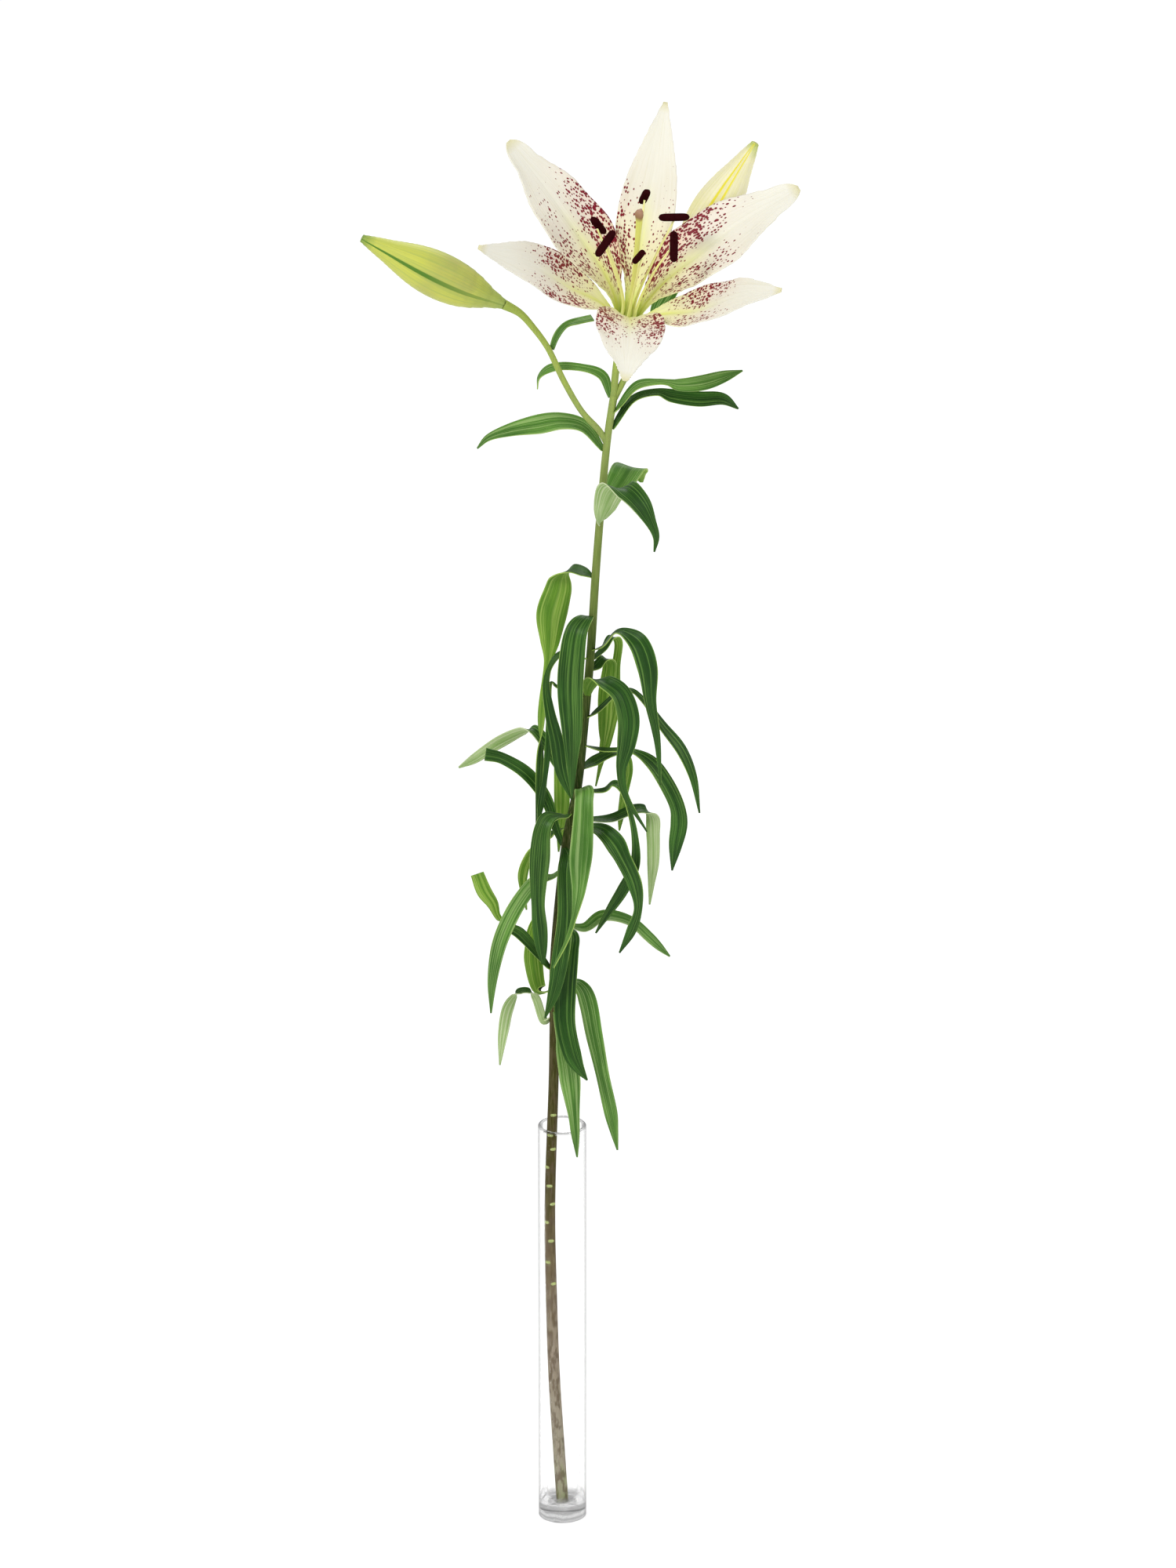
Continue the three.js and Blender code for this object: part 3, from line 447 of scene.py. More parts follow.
# ---- Leaves ----
# Long smooth blades with parallel veins, deep green above and bright yellow-green beneath. Each
# grows from the stem at a height, on a compass side (0 is +X, -90 the front). Then come its rows:
# [x, y, z, compass and lift of the direction that the upper face looks in, width] in millimetres.
LEAVES = [
    (707, 190, [24, 17, 719, -90, 50, 6], [12, 20, 723, -90, 50, 5], [-6, 20, 723, -90, 50, 5.5],
     [-13, 18, 718, -150, 20, 3], [-14, 17, 711, 180, 0, 1]),
    (698, -25, [44, 8, 716, -90, 55, 6], [56, 6, 719, -90, 50, 4], [62, 5, 719, -90, 40, 4],
     [68, 4, 718, -90, 20, 7], [82, 2, 720, -90, 15, 9], [94, 1, 724, -90, 25, 7],
     [105, 0, 728, -90, 30, 1]),
    (688, 5, [42, 17, 705, -90, 60, 5], [56, 20, 708, -90, 50, 5], [64, 20, 706, -90, 30, 8],
     [80, 20, 704, -90, 25, 9], [94, 20, 704, -90, 30, 7], [103, 20, 698, -90, 30, 1]),
    (675, 180, [13, 17, 688, -90, 50, 8], [0, 17, 691, -90, 45, 11], [-14, 14, 690, -90, 40, 12],
     [-30, 11, 688, -90, 40, 8], [-43, 8, 684, -90, 40, 4], [-49, 7, 678, -90, 30, 1]),
    (643, 60, [30, 22, 645, -100, 30, 13], [36, 29, 652, -110, 30, 18],
     [40, 36, 656, -110, 60, 20], [43, 42, 653, 50, 60, 17], [47, 46, 644, 60, 0, 2]),
    (630, -90, [25, 4, 642, 90, 5, 13], [31, -6, 657, 95, 50, 19], [38, -12, 658, -80, 65, 17],
     [46, -15, 651, -65, 30, 13], [52, -15, 640, -60, 5, 7], [55, -15, 631, -70, 0, 4],
     [54, -15, 622, -80, 0, 1]),
    (597, 170, [13, 15, 599, -100, 65, 7], [6, 20, 599, -110, 75, 9], [0, 24, 593, 120, 60, 13],
     [-2, 25, 584, 93, 3, 16], [-6, 26, 568, 90, 0, 18], [-7, 25, 551, 88, 0, 11],
     [-8, 23, 540, 80, 0, 5], [-12, 18, 510, 60, 0, 5], [-13, 13, 480, -60, 0, 5],
     [-15, 10, 443, -90, 0, 1]),
    (573, -120, [14, 4, 574, -95, 65, 9], [9, -2, 569, -100, 15, 13], [6, -6, 552, -92, 0, 15],
     [5, -8, 534, -90, 0, 15], [6, -10, 510, -90, 0, 12], [6, -11, 488, -90, 0, 6],
     [6, -11, 468, -90, 0, 1]),
    (552, -40, [24, 6, 556, -60, 60, 4], [33, -2, 568, -60, 60, 5], [39, -5, 567, -75, 50, 9],
     [45, -9, 563, -80, 22, 12], [50, -11, 550, -88, 0, 12], [52, -12, 528, -90, 0, 7],
     [56, -12, 504, -90, 0, 4], [58, -12, 476, -90, 0, 1]),
    (546, 30, [25, 20, 550, -90, 60, 4], [29, 24, 555, -90, 70, 5], [33, 27, 552, 90, 30, 5],
     [32, 29, 535, 90, 0, 5], [30, 29, 510, 90, 0, 8], [26, 28, 489, 90, 0, 7],
     [23, 27, 475, 90, 0, 3], [20, 26, 461, 90, 0, 1]),
    (538, 50, [21, 15, 541, -90, 55, 6], [25, 18, 544, -90, 70, 6], [28, 21, 540, 80, 40, 8],
     [26, 22, 521, 90, 0, 9], [25, 22, 500, 90, 0, 7], [24, 22, 485, 90, 0, 1]),
    (546, 190, [4, 6, 552, -100, 60, 4], [-2, 4, 551, -110, 50, 4], [-7, 2, 544, -120, 5, 3],
     [-9, 1, 535, -100, 0, 4], [-7, -1, 518, -90, 0, 6], [-3, -2, 500, -90, 0, 8],
     [0, -2, 480, -90, 0, 7], [6, -2, 463, -90, 0, 1]),
    (522, 180, [-3, 9, 530, -90, 50, 2], [-6, 7, 533, -130, 60, 2], [-7, 5, 520, -140, 0, 3],
     [-8, 4, 495, -90, 0, 4], [-10, 3, 474, -90, 0, 3], [-12, 3, 460, -90, 0, 4],
     [-14, 3, 446, -90, 0, 1]),
    (524, -80, [16, 3, 532, 90, 20, 8], [19, -2, 538, 95, 55, 10], [26, -8, 538, -80, 55, 11],
     [34, -11, 533, -70, 25, 12], [39, -13, 519, -85, 3, 13], [38, -14, 503, -90, 0, 11],
     [35, -14, 487, -90, 0, 6], [37, -15, 472, -90, 0, 4], [50, -15, 448, -90, 0, 1]),
    (510, -20, [22, 8, 516, -90, 60, 4], [34, 2, 529, -90, 60, 3], [41, -1, 531, -80, 60, 3],
     [48, -2, 525, -60, 50, 4], [59, -4, 510, -50, 15, 6], [70, -6, 496, -55, 5, 7],
     [77, -8, 480, -65, 0, 5], [81, -8, 457, -90, 0, 1]),
    (492, 0, [24, 7, 491, -90, 75, 4], [41, 2, 492, -90, 70, 4], [52, 0, 486, -72, 35, 8],
     [61, -2, 474, -75, 10, 9], [68, -4, 459, -85, 0, 9], [69, -5, 449, -90, 0, 10],
     [67, -6, 436, -90, 0, 8], [65, -6, 420, -90, 0, 1]),
    (484, 130, [6, 23, 482, -90, 60, 8], [1, 27, 483, 90, 60, 9], [0, 29, 473, 90, 5, 9],
     [0, 30, 447, 90, 0, 9], [-1, 30, 432, 90, 0, 5], [-2, 30, 418, 90, 0, 1]),
    (478, 20, [19, 17, 480, -95, 50, 7], [30, 20, 484, -90, 65, 6], [36, 22, 483, 40, 50, 6],
     [39, 25, 473, 92, 0, 6], [37, 26, 458, 90, 0, 5], [35, 26, 443, 90, 0, 4],
     [34, 26, 433, 90, 0, 1]),
    (474, 165, [-1, 18, 476, -90, 60, 6], [-8, 22, 487, -90, 45, 7], [-17, 27, 496, -130, 75, 8],
     [-23, 29, 494, 80, 40, 8], [-37, 30, 487, 90, 8, 8], [-52, 29, 477, 90, 5, 6],
     [-61, 28, 472, 90, 5, 1]),
    (465, -90, [13, -4, 470, -90, 60, 11], [13, -10, 464, -90, 8, 11], [12, -15, 443, -90, 0, 13],
     [11, -17, 430, -90, 0, 13], [10, -19, 411, -110, 0, 8], [7, -21, 395, -150, 0, 5],
     [3, -22, 382, -150, 0, 3], [-5, -23, 365, -150, 0, 1]),
    (464, -15, [25, 6, 466, -90, 60, 4], [31, 1, 472, -90, 55, 5], [35, -3, 470, -60, 20, 4],
     [39, -5, 460, -60, 0, 3], [43, -4, 441, -90, 0, 4], [43, 0, 421, -90, 0, 6],
     [36, 1, 405, -90, 0, 7], [28, 0, 392, -90, 0, 5], [20, 0, 378, -90, 0, 1]),
    (450, -130, [2, 2, 451, -95, 60, 4], [-3, -3, 453, -95, 55, 5], [-8, -7, 453, -100, 40, 9],
     [-11, -10, 448, -98, 12, 10], [-13, -12, 429, -90, 0, 12], [-14, -12, 402, -90, 0, 8],
     [-13, -12, 386, -90, 0, 9], [-12, -12, 374, -90, 0, 7], [-11, -12, 363, -90, 0, 2]),
    (443, -40, [22, 1, 443, -90, 60, 9], [27, -3, 441, -95, 50, 11], [32, -6, 436, -100, 35, 12],
     [36, -8, 429, -105, 20, 10], [43, -9, 413, -100, 5, 9], [45, -9, 397, -90, 0, 5],
     [41, -9, 383, -90, 0, 6], [34, -9, 369, -90, 0, 1]),
    (446, 15, [29, 17, 444, -90, 55, 6], [43, 21, 448, -90, 60, 7], [49, 23, 447, -90, 70, 8],
     [53, 25, 442, 60, 45, 9], [54, 26, 430, 90, 0, 8], [54, 26, 412, 90, 0, 7],
     [53, 26, 399, 90, 0, 4], [52, 26, 386, 90, 0, 1]),
    (440, 140, [-5, 18, 434, -90, 60, 5], [-12, 19, 429, -120, 50, 5], [-19, 20, 420, 120, 0, 5],
     [-23, 20, 408, 90, 0, 6], [-23, 20, 398, 90, 0, 4], [-21, 20, 385, 90, 0, 1]),
    (430, 175, [-4, 12, 441, -90, 40, 5], [-9, 16, 456, -90, 30, 7], [-20, 16, 472, -90, 35, 8],
     [-35, 14, 483, -90, 40, 7], [-45, 13, 486, -90, 40, 8]),
    (429, -120, [3, -3, 427, -95, 40, 8], [2, -8, 420, -92, 3, 9], [2, -13, 395, -90, 0, 9],
     [-1, -16, 368, -90, 0, 10], [-5, -17, 346, -90, 0, 7], [-10, -18, 331, -90, 0, 1]),
    (414, 180, [-5, 3, 413, -90, 75, 4], [-14, -4, 413, -95, 45, 8], [-25, -8, 401, -100, 10, 9],
     [-36, -10, 378, -92, 0, 9], [-41, -10, 353, -90, 0, 6], [-42, -10, 331, -90, 0, 1]),
    (381, 15, [13, 11, 377, -90, 50, 6], [24, 14, 383, -90, 55, 8], [40, 17, 379, -85, 55, 7],
     [51, 18, 369, -75, 50, 7], [58, 18, 362, -70, 45, 5], [64, 18, 356, -70, 45, 1]),
    (380, -60, [5, -3, 377, -90, 45, 10], [4, -7, 370, -90, 5, 12], [2, -11, 347, -90, 0, 13],
     [2, -16, 327, -90, 0, 12], [6, -20, 309, -90, 0, 11], [9, -21, 302, -90, 0, 8],
     [15, -22, 293, -90, 0, 1]),
    (352, 185, [-15, 7, 363, -90, 35, 5], [-25, 7, 375, -90, 35, 7], [-33, 6, 380, -90, 45, 5],
     [-38, 4, 387, 90, 20, 4], [-41, 4, 395, 90, 0, 7], [-46, 4, 403, 90, 0, 9],
     [-50, 4, 414, 90, 0, 8]),
    (341, 0, [2, 5, 340, -60, 60, 7], [8, 2, 345, -50, 60, 8], [12, 0, 342, -60, 30, 10],
     [15, -1, 335, -70, 8, 11], [19, -3, 315, -85, 0, 10], [24, -5, 290, -90, 0, 8],
     [29, -7, 266, -90, 0, 8], [31, -7, 254, -90, 0, 5], [33, -7, 242, -90, 0, 1]),
    (338, 165, [-13, 16, 335, 100, 30, 8], [-17, 20, 352, 90, 10, 11], [-17, 22, 361, 90, 0, 10],
     [-16, 23, 371, 90, 0, 9], [-13, 24, 382, 90, 0, 4]),
    (326, -80, [1, -8, 313, -90, 40, 9], [2, -12, 308, -90, 8, 11], [4, -15, 297, -90, 0, 12],
     [5, -16, 289, -90, 0, 12], [7, -17, 269, -90, 0, 7], [8, -18, 256, -90, 0, 5],
     [9, -18, 242, -90, 0, 1]),
    (322, 175, [-10, 8, 318, 100, 30, 5], [-16, 6, 335, 130, 60, 5], [-20, 5, 339, -110, 70, 5],
     [-25, 4, 339, -110, 65, 5], [-28, 3, 336, 110, 40, 6], [-32, 2, 329, 95, 10, 7],
     [-35, 2, 313, 90, 0, 6], [-37, 2, 293, 90, 0, 1]),
]
BRACTS = [
    ("bract_left", [-5.6, 12.2, 737, -90, 30, 3], [-3, 13, 744.5, -60, 35, 4],
     [2, 16, 750, -80, 55, 4], [9, 20, 751.5, -85, 60, 5], [18, 25, 752, -85, 60, 5]),
    ("bract_right", [54, 24.4, 748, -90, 20, 2], [56, 22, 757, -90, 20, 9],
     [62, 24, 767, -90, 25, 10], [71, 25, 774, -90, 30, 1]),
]
LEAF_THICK = 0.65 * MM
LEAF_CHANNEL = 0.24  # the depth of its channel, as a share of half its width
CHANNEL_ROUND = 0.03
LEAF_RIPPLE = 0.05  # the same for the waves of its margins
LEAF_LEAST = 0.25  # half its least width, in millimetres
ROOT_WIDTH = 3
ROOT_LIFT = 60
ROOT_OUT = 0.8  # how far out in the stem a root starts, as a share of the stem's radius
BRACT_SEED = 50
LEAF_STEPS = 12
LEAF_ACROSS = 12
PATTERN_APART = 97  # millimetres between one blade's pattern and the next one's


def blade(path, ups, halves, across, section, seed):
    """A sheet along a path. `section(u, share)` lifts it off flat, as a share of its half width.
    Its second UV map, `pattern`, is in millimetres, shifted by the seed."""
    length = sum((b - a).length for a, b in zip(path, path[1:]))
    shares = shares_along(path)

    def shape(u, row):
        tangent = (path[min(row + 1, len(path) - 1)] - path[max(row - 1, 0)]).normalized()
        normal = (ups[row] - tangent * ups[row].dot(tangent)).normalized()
        lift = section(u, shares[row])
        return path[row] + (tangent.cross(normal) * u + normal * lift) * halves[row]

    bm = bend_grid(across, path, shape)
    pattern = bm.loops.layers.uv.new("pattern")
    plain = bm.loops.layers.uv["UVMap"]
    for face in bm.faces:
        for loop in face.loops:
            u, v = loop[plain].uv
            loop[pattern].uv = (u * max(halves) * 2 + seed * PATTERN_APART, v * length)
    return bm


def thicken(piece, thickness):
    """Gives a sheet its thickness, with the second material beneath and round the edge."""
    solid = piece.modifiers.new("thickness", "SOLIDIFY")
    solid.thickness = thickness
    solid.offset = 0
    solid.use_quality_normals = True
    solid.material_offset = 1
    solid.material_offset_rim = 1


def from_middle(material, across):
    """How far a UV place across a blade is from its midrib, from 0 to 1 at the margin."""
    return calc(material, "ABSOLUTE", calc(material, "MULTIPLY_ADD", across, 2.0, -1.0))


def leaf_skin(name, deep, light, pale, roughness):
    """Parallel veins along a blade, a darker channel down its middle and a paler margin."""
    skin = new_material(name)
    flat = node(skin, "UVMap", uv_map="UVMap").outputs[0]
    surface = node(skin, "UVMap", uv_map="pattern").outputs[0]
    out = from_middle(skin, node(skin, "SeparateXYZ", {"Vector": flat}).outputs["X"])
    veins = noise(skin, scaled(skin, surface, (1.3, 0.01, 1)), 1.0, 2.0)
    cloud = noise(skin, scaled(skin, surface, (0.1, 0.03, 1)), 1.0, 3.0)
    colour = blend(skin, levels(skin, cloud, [(0.35, 0.0), (0.65, 1.0)]), deep, light)
    colour = blend(skin, levels(skin, veins, [(0.5, 0.0), (0.64, 0.6)]), colour, pale)
    colour = blend(skin, levels(skin, veins, [(0.36, 0.7), (0.46, 0.0)]), colour, deep)
    colour = blend(skin, levels(skin, out, [(0.0, 0.8), (0.16, 0.0)]), colour, deep)
    colour = blend(skin, levels(skin, out, [(0.9, 0.0), (1.0, 0.7)]), colour, pale)
    relief = bump(skin, veins, 0.7, 0.0005)
    return flesh(skin, colour, roughness, 0.15, relief, (0.0006, 0.001, 0.0003))


deep_upper = leaf_skin(
    "leaf_deep", (0.01, 0.045, 0.005), (0.03, 0.105, 0.012), (0.13, 0.26, 0.05), 0.35
)
# A lighter copy of the upper skin: partly the leaves' own fresher tone, partly painted sheen.
fresh_sheen_upper = leaf_skin(
    "leaf_fresh_sheen", (0.045, 0.135, 0.016), (0.12, 0.27, 0.045), (0.32, 0.46, 0.17), 0.4
)
bright_under = leaf_skin(
    "leaf_bright", (0.08, 0.2, 0.015), (0.18, 0.34, 0.03), (0.38, 0.52, 0.12), 0.45
)
pale_under = leaf_skin(
    "leaf_pale", (0.22, 0.36, 0.1), (0.4, 0.52, 0.24), (0.6, 0.66, 0.42), 0.5
)
# Leaves, by number, lighter above (partly fresher, partly painted sheen) and paler beneath; 0 is the
# bracts.
FRESH_SHEEN_LEAVES = {0, 1, 2, 4, 5, 20, 28, 29, 32, 34}
PALE_LEAVES = {6, 19, 24, 29, 35}


def leaf_piece(name, rows, seed, node_name, number=0):
    """A leaf or bract along its rows. Its number says which colours it has."""
    path = smooth_path(rows, LEAF_STEPS)
    ups = []
    for first, second in zip(rows, rows[1:]):
        start, end = direction(*first[3:5]), direction(*second[3:5])
        ups += [start.lerp(end, step / LEAF_STEPS) for step in range(LEAF_STEPS)]
    ups.append(direction(*rows[-1][3:5]))
    widths = smooth_values([row[5] for row in rows], LEAF_STEPS)
    halves = [max(LEAF_LEAST, width / 2) for width in widths]
    draw = Random(seed)
    phase, waves = draw.uniform(0, math.tau), draw.uniform(5, 9)

    def section(u, share):
        fullness = math.sin(math.pi * min(1, share * 1.2 + 0.05))  # none is left at the tip
        channel = math.sqrt(u * u + CHANNEL_ROUND) * LEAF_CHANNEL * fullness
        ripple = LEAF_RIPPLE * abs(u) ** 3 * math.sin(phase + share * waves * math.pi + u)
        return channel + ripple

    bm = blade(path, ups, halves, LEAF_ACROSS, section, seed)
    skins = [
        fresh_sheen_upper if number in FRESH_SHEEN_LEAVES else deep_upper,
        pale_under if number in PALE_LEAVES else bright_under,
    ]
    thicken(plant_piece(name, bm, skins, node_name), LEAF_THICK)


for index, (height, compass, *path) in enumerate(LEAVES):
    centre, radius = stem_at(height)
    root = centre + direction(compass) * radius * ROOT_OUT
    number = f"{index + 1:02d}"
    rows = [[*root, compass, ROOT_LIFT, ROOT_WIDTH], *path]
    leaf_piece(f"blade_{number}", rows, index, f"leaf_{number}", index + 1)
for index, (name, *path) in enumerate(BRACTS):
    leaf_piece(f"{name}_blade", path, BRACT_SEED + index, name)


# ---- Buds ----
# Six tepals still closed into one spindle with three furrows. The left one is green and firm, the
# right one has turned cream and is about to open.
LEFT_BUD = [[-33.4, 6.3, 766.4], [-58, 5, 778], [-85, 4, 791.8], [-115, 3, 807.4]]
RIGHT_BUD = [[68.2, 32.3, 774], [80, 33, 797.5], [96, 32, 827.5], [112, 29, 856.5]]
LEFT_BUD_RADIUS = 13.8
RIGHT_BUD_RADIUS = 14
CREAM_BUD_TURNED = 0.05  # how far round the bud its furrows lie, as a share of a turn
FURROWS = 3
FURROW_DEPTH = 0.09  # as a share of the radius
FURROW_SHARP = 6
# The radius at even steps from stalk to tip, as a share of the greatest.
BUD_OUTLINE = [0.22, 0.42, 0.68, 0.87, 0.97, 1, 0.96, 0.85, 0.69, 0.51, 0.35, 0.17]
BUD_SIDES = 60
BUD_STEPS = 22


def at_share(values, share):
    """The value of an evenly spaced list at a share from 0 to 1, smoothly."""
    fine = 8
    line = smooth_values(values, fine)
    return line[round(share * (len(line) - 1))]


def bud_skin(name, base, middle, tip, furrow_line_and_shade, blush, turned, line):
    """Veined flesh with a coloured line down each furrow, on the green bud partly painted shade, and a
    blush of its own in its lower half. `line` says how full the line's colour is, from between the
    furrows (0) to their middle (1)."""
    skin = new_material(name)
    flat = node(skin, "UVMap", uv_map="UVMap").outputs[0]
    parts = node(skin, "SeparateXYZ", {"Vector": flat})
    place = node(skin, "TexCoord").outputs["Object"]
    cloud = calc(skin, "SUBTRACT", noise(skin, place, 55, 4.0), 0.5)
    share = calc(skin, "MULTIPLY_ADD", cloud, 0.16, parts.outputs["Y"])
    colour = ramp(skin, share, [(0.0, base), (0.25, middle), (0.92, middle), (1.02, tip)])
    lower = levels(skin, share, [(0.05, 0.0), (0.2, 1.0), (0.45, 0.8), (0.62, 0.0)])
    patch = levels(skin, noise(skin, place, 42, 3.0), [(0.4, 0.0), (0.62, 0.7)])
    colour = blend(skin, times(skin, lower, patch), colour, blush)
    veins = noise(skin, scaled(skin, flat, (70, 1.2, 1)), 1.0, 2.0)
    colour = blend(skin, levels(skin, veins, [(0.42, 0.0), (0.62, 0.55)]), colour, base)
    round_bud = calc(skin, "SUBTRACT", parts.outputs["X"], 0.5 + turned)
    turn = times(skin, round_bud, FURROWS * math.tau)
    furrow = calc(skin, "MULTIPLY_ADD", calc(skin, "COSINE", turn), 0.5, 0.5)
    deepening = levels(skin, parts.outputs["Y"], [(0.05, 0.35), (0.55, 1.0)])
    in_furrow = times(skin, levels(skin, furrow, line), deepening)
    # The green bud's dark furrow line is partly its own colour and partly painted shade in the furrow.
    colour = blend(skin, in_furrow, colour, furrow_line_and_shade)
    relief = bump(skin, veins, 0.4, 0.0005)
    return flesh(skin, colour, 0.45, 0.3, relief, (0.003, 0.003, 0.001), weight=0.2)


def bud_piece(name, points, radius, turned, skin, node_name):
    """A closed bud along its points, with its furrows turned round it by a share of a turn."""
    def radius_at(share, angle):
        nearness = 0.5 + 0.5 * math.cos(FURROWS * angle - FURROWS * math.tau * turned)
        return at_share(BUD_OUTLINE, share) * (1 - FURROW_DEPTH * nearness ** FURROW_SHARP)

    thick_points = [[*point, radius] for point in points]
    spindle = rod(thick_points, BUD_SIDES, BUD_STEPS, BACK, radius_at)
    plant_piece(name, spindle, [skin], node_name)


bud_piece(
    "green_bud", LEFT_BUD, LEFT_BUD_RADIUS, 0,
    bud_skin(
        "bud_green_skin", base=(0.33, 0.42, 0.1), middle=(0.54, 0.56, 0.09), tip=(0.12, 0.24, 0.03),
        # Its dark furrow colour is partly painted shade in the furrows.
        furrow_line_and_shade=(0.08, 0.2, 0.015), blush=(0.34, 0.33, 0.13), turned=0,
        line=[(0.965, 0.0), (0.985, 1.0)],
    ),
    "bud_left",
)
bud_piece(
    "cream_bud", RIGHT_BUD, RIGHT_BUD_RADIUS, CREAM_BUD_TURNED,
    bud_skin(
        "bud_cream_skin", base=(0.66, 0.64, 0.26), middle=(0.76, 0.72, 0.49), tip=(0.36, 0.46, 0.08),
        furrow_line_and_shade=(0.72, 0.64, 0.04), blush=(0.7, 0.66, 0.22), turned=CREAM_BUD_TURNED,
        line=[(0.87, 0.0), (0.91, 1.0), (0.965, 1.0), (0.985, 0.2)],
    ),
    "bud_right",
)


# ---- Bloom: tepals ----
# Six fleshy petals in two rings of three, grown from one seat. They are cream with burgundy spots,
# lime green in the throat. A profile gives [out from the bloom's axis, up along it] in millimetres.
BLOOM_SEAT = Vector((37, 12, 749))
BLOOM_FACING = Vector((0.127, -0.481, 0.867)).normalized()
INNER_WIDTH = 43
FRONT_WIDTH = 40
OUTER_WIDTH = 33
TEPAL_THICK = 0.75 * MM
TEPAL_CHANNEL = (0.55, 0.12)  # its depth at the claw and at the tip, as a share of half the width
CHANNEL_OPENS = 1.6  # how soon it goes from the one to the other
MIDRIB_DEPTH = 0.05  # these three are shares of half the width
MIDRIB_WIDTH = 0.09
TEPAL_RIPPLE = 0.05
LEAN_OUT = 0.6  # how its upper face turns from inwards to up
LEAN_UP = 0.25
OPEN_PROFILE = [[5.9, 0.5], [9, 15], [20, 33], [40, 49], [69, 70], [98, 88]]
TOP_PROFILE = [[6.2, 0.5], [10.5, 14], [25, 31], [45, 47], [70, 69], [100, 89]]
RAISED_PROFILE = [[5.9, 0.5], [9, 15], [20, 34], [40, 52], [68, 73], [98, 89]]
FRONT_PROFILE = [[5.9, 0.5], [9.5, 16], [22, 34], [46, 50], [73, 61], [93, 67], [102, 66]]
LEFT_PROFILE = [[5.9, 0.5], [9, 13], [20, 29], [43, 50], [73, 80], [107, 104]]
RIGHT_PROFILE = [[5.9, 0.5], [9, 13], [21, 28], [43, 48], [71, 82], [94, 103]]
# The width at even steps from claw to tip, as a share of the greatest.
INNER_OUTLINE = [0.1, 0.15, 0.29, 0.62, 0.9, 1, 0.98, 0.86, 0.65, 0.38, 0.08]
OUTER_OUTLINE = [0.12, 0.17, 0.32, 0.66, 0.94, 1, 0.95, 0.8, 0.58, 0.33, 0.07]
TEPALS = [
    ("tepal_inner_right", 24, INNER_WIDTH, 0, RAISED_PROFILE),
    ("tepal_outer_top", 83, OUTER_WIDTH, 0, TOP_PROFILE),
    ("tepal_inner_left", 144, INNER_WIDTH, 0, OPEN_PROFILE),
    ("tepal_outer_left", 204, OUTER_WIDTH, -58, LEFT_PROFILE),
    ("tepal_inner_front", 265, FRONT_WIDTH, 0, FRONT_PROFILE),
    ("tepal_outer_right", 324, OUTER_WIDTH, 40, RIGHT_PROFILE),
]
# Where each tepal's spots start, are thickest and end, as shares of its length; how thick they get;
# and how far they gather to one side, from -1 to 1.
SPOTS = [
    (0.12, 0.36, 0.84, 2.2, -0.7),
    (0.13, 0.28, 0.8, 1.1, -0.5),
    (0.13, 0.36, 0.9, 1.9, 0.6),
    (0.24, 0.46, 0.84, 1.7, 0.1),
    (0.27, 0.46, 0.84, 2.0, 0.0),
    (0.24, 0.46, 0.82, 1.5, -0.4),
]
ROUND_TIP = 0.44  # the round tip's width, as a share of the greatest, and where it starts
ROUND_FROM = 0.86
TIP_LEAST = 0.6  # half the least width, in millimetres
ROOT_SUNK = 1.2  # how much further down a root starts, so that it is sunk in the seat
TEPAL_SEED = 100
TEPAL_PATTERN = 10
TEPAL_STEPS = 16
TEPAL_ACROSS = 36
# A spot's cell, [across, along] in millimetres, and the spot's largest radius as a share of it.
FINE_SPOTS = (1.5, 2.4), 0.52
COARSE_SPOTS = (2.6, 4.6), 0.42

bloom_right = (RIGHT - BLOOM_FACING * RIGHT.dot(BLOOM_FACING)).normalized()
bloom_back = BLOOM_FACING.cross(bloom_right)
bloom_frame = Matrix((bloom_right, bloom_back, BLOOM_FACING)).transposed().to_4x4()
bloom_frame.translation = BLOOM_SEAT * MM


def to_bloom(bm):
    """A mesh carried from the bloom's frame (x right, y back, z along its axis) to the plant's."""
    bmesh.ops.transform(bm, matrix=bloom_frame, verts=bm.verts)
    return bm


def spot_layer(skin, surface, density, cell, largest):
    """Dots from 0 to 1, one to a cell where the density lets it be."""
    onset, edge = 8.0, 12.0  # how sharply the spots set in, and how sharp each one is
    placed = scaled(skin, surface, (1 / cell[0], 1 / cell[1], 1))
    cells = node(skin, "TexVoronoi", {"Vector": placed, "Scale": 1.0}, voronoi_dimensions="2D")
    draws = node(skin, "SeparateColor", {"Color": cells.outputs["Color"]}).outputs
    present = times(skin, calc(skin, "SUBTRACT", density, draws[1]), onset, clamp=True)
    fullness = levels(skin, density, [(0.1, 0.7), (0.9, 1.15)])
    reach = times(skin, calc(skin, "MULTIPLY_ADD", draws[0], 0.6, 0.4), largest)
    reach = times(skin, reach, fullness)
    inside = calc(skin, "SUBTRACT", times(skin, reach, present), cells.outputs["Distance"])
    return times(skin, inside, edge, clamp=True)


def spot_density(skin, parts, surface, start, thickest, end, most, lean):
    """How many of the cells hold a spot, over a tepal."""
    thinner = 0.3 * thickest + 0.7 * end
    lengthwise = levels(skin, parts.outputs["Y"], [
        (start, 0.0), (thickest - 0.06, most), (thickest + 0.06, most), (thinner, 0.2 * most),
        (end, 0.0),
    ])
    sideways = calc(skin, "MULTIPLY_ADD", parts.outputs["X"], 1.2 * lean, 0.7 - 0.6 * lean)
    out = from_middle(skin, parts.outputs["X"])
    outward = levels(skin, out, [(0.04, 0.1), (0.3, 0.6), (0.8, 1.0)])
    patches = levels(skin, noise(skin, surface, 0.11, 2.0), [(0.3, 0.5), (0.6, 1.2)])
    density = times(skin, lengthwise, times(skin, sideways, outward))
    return times(skin, density, patches)


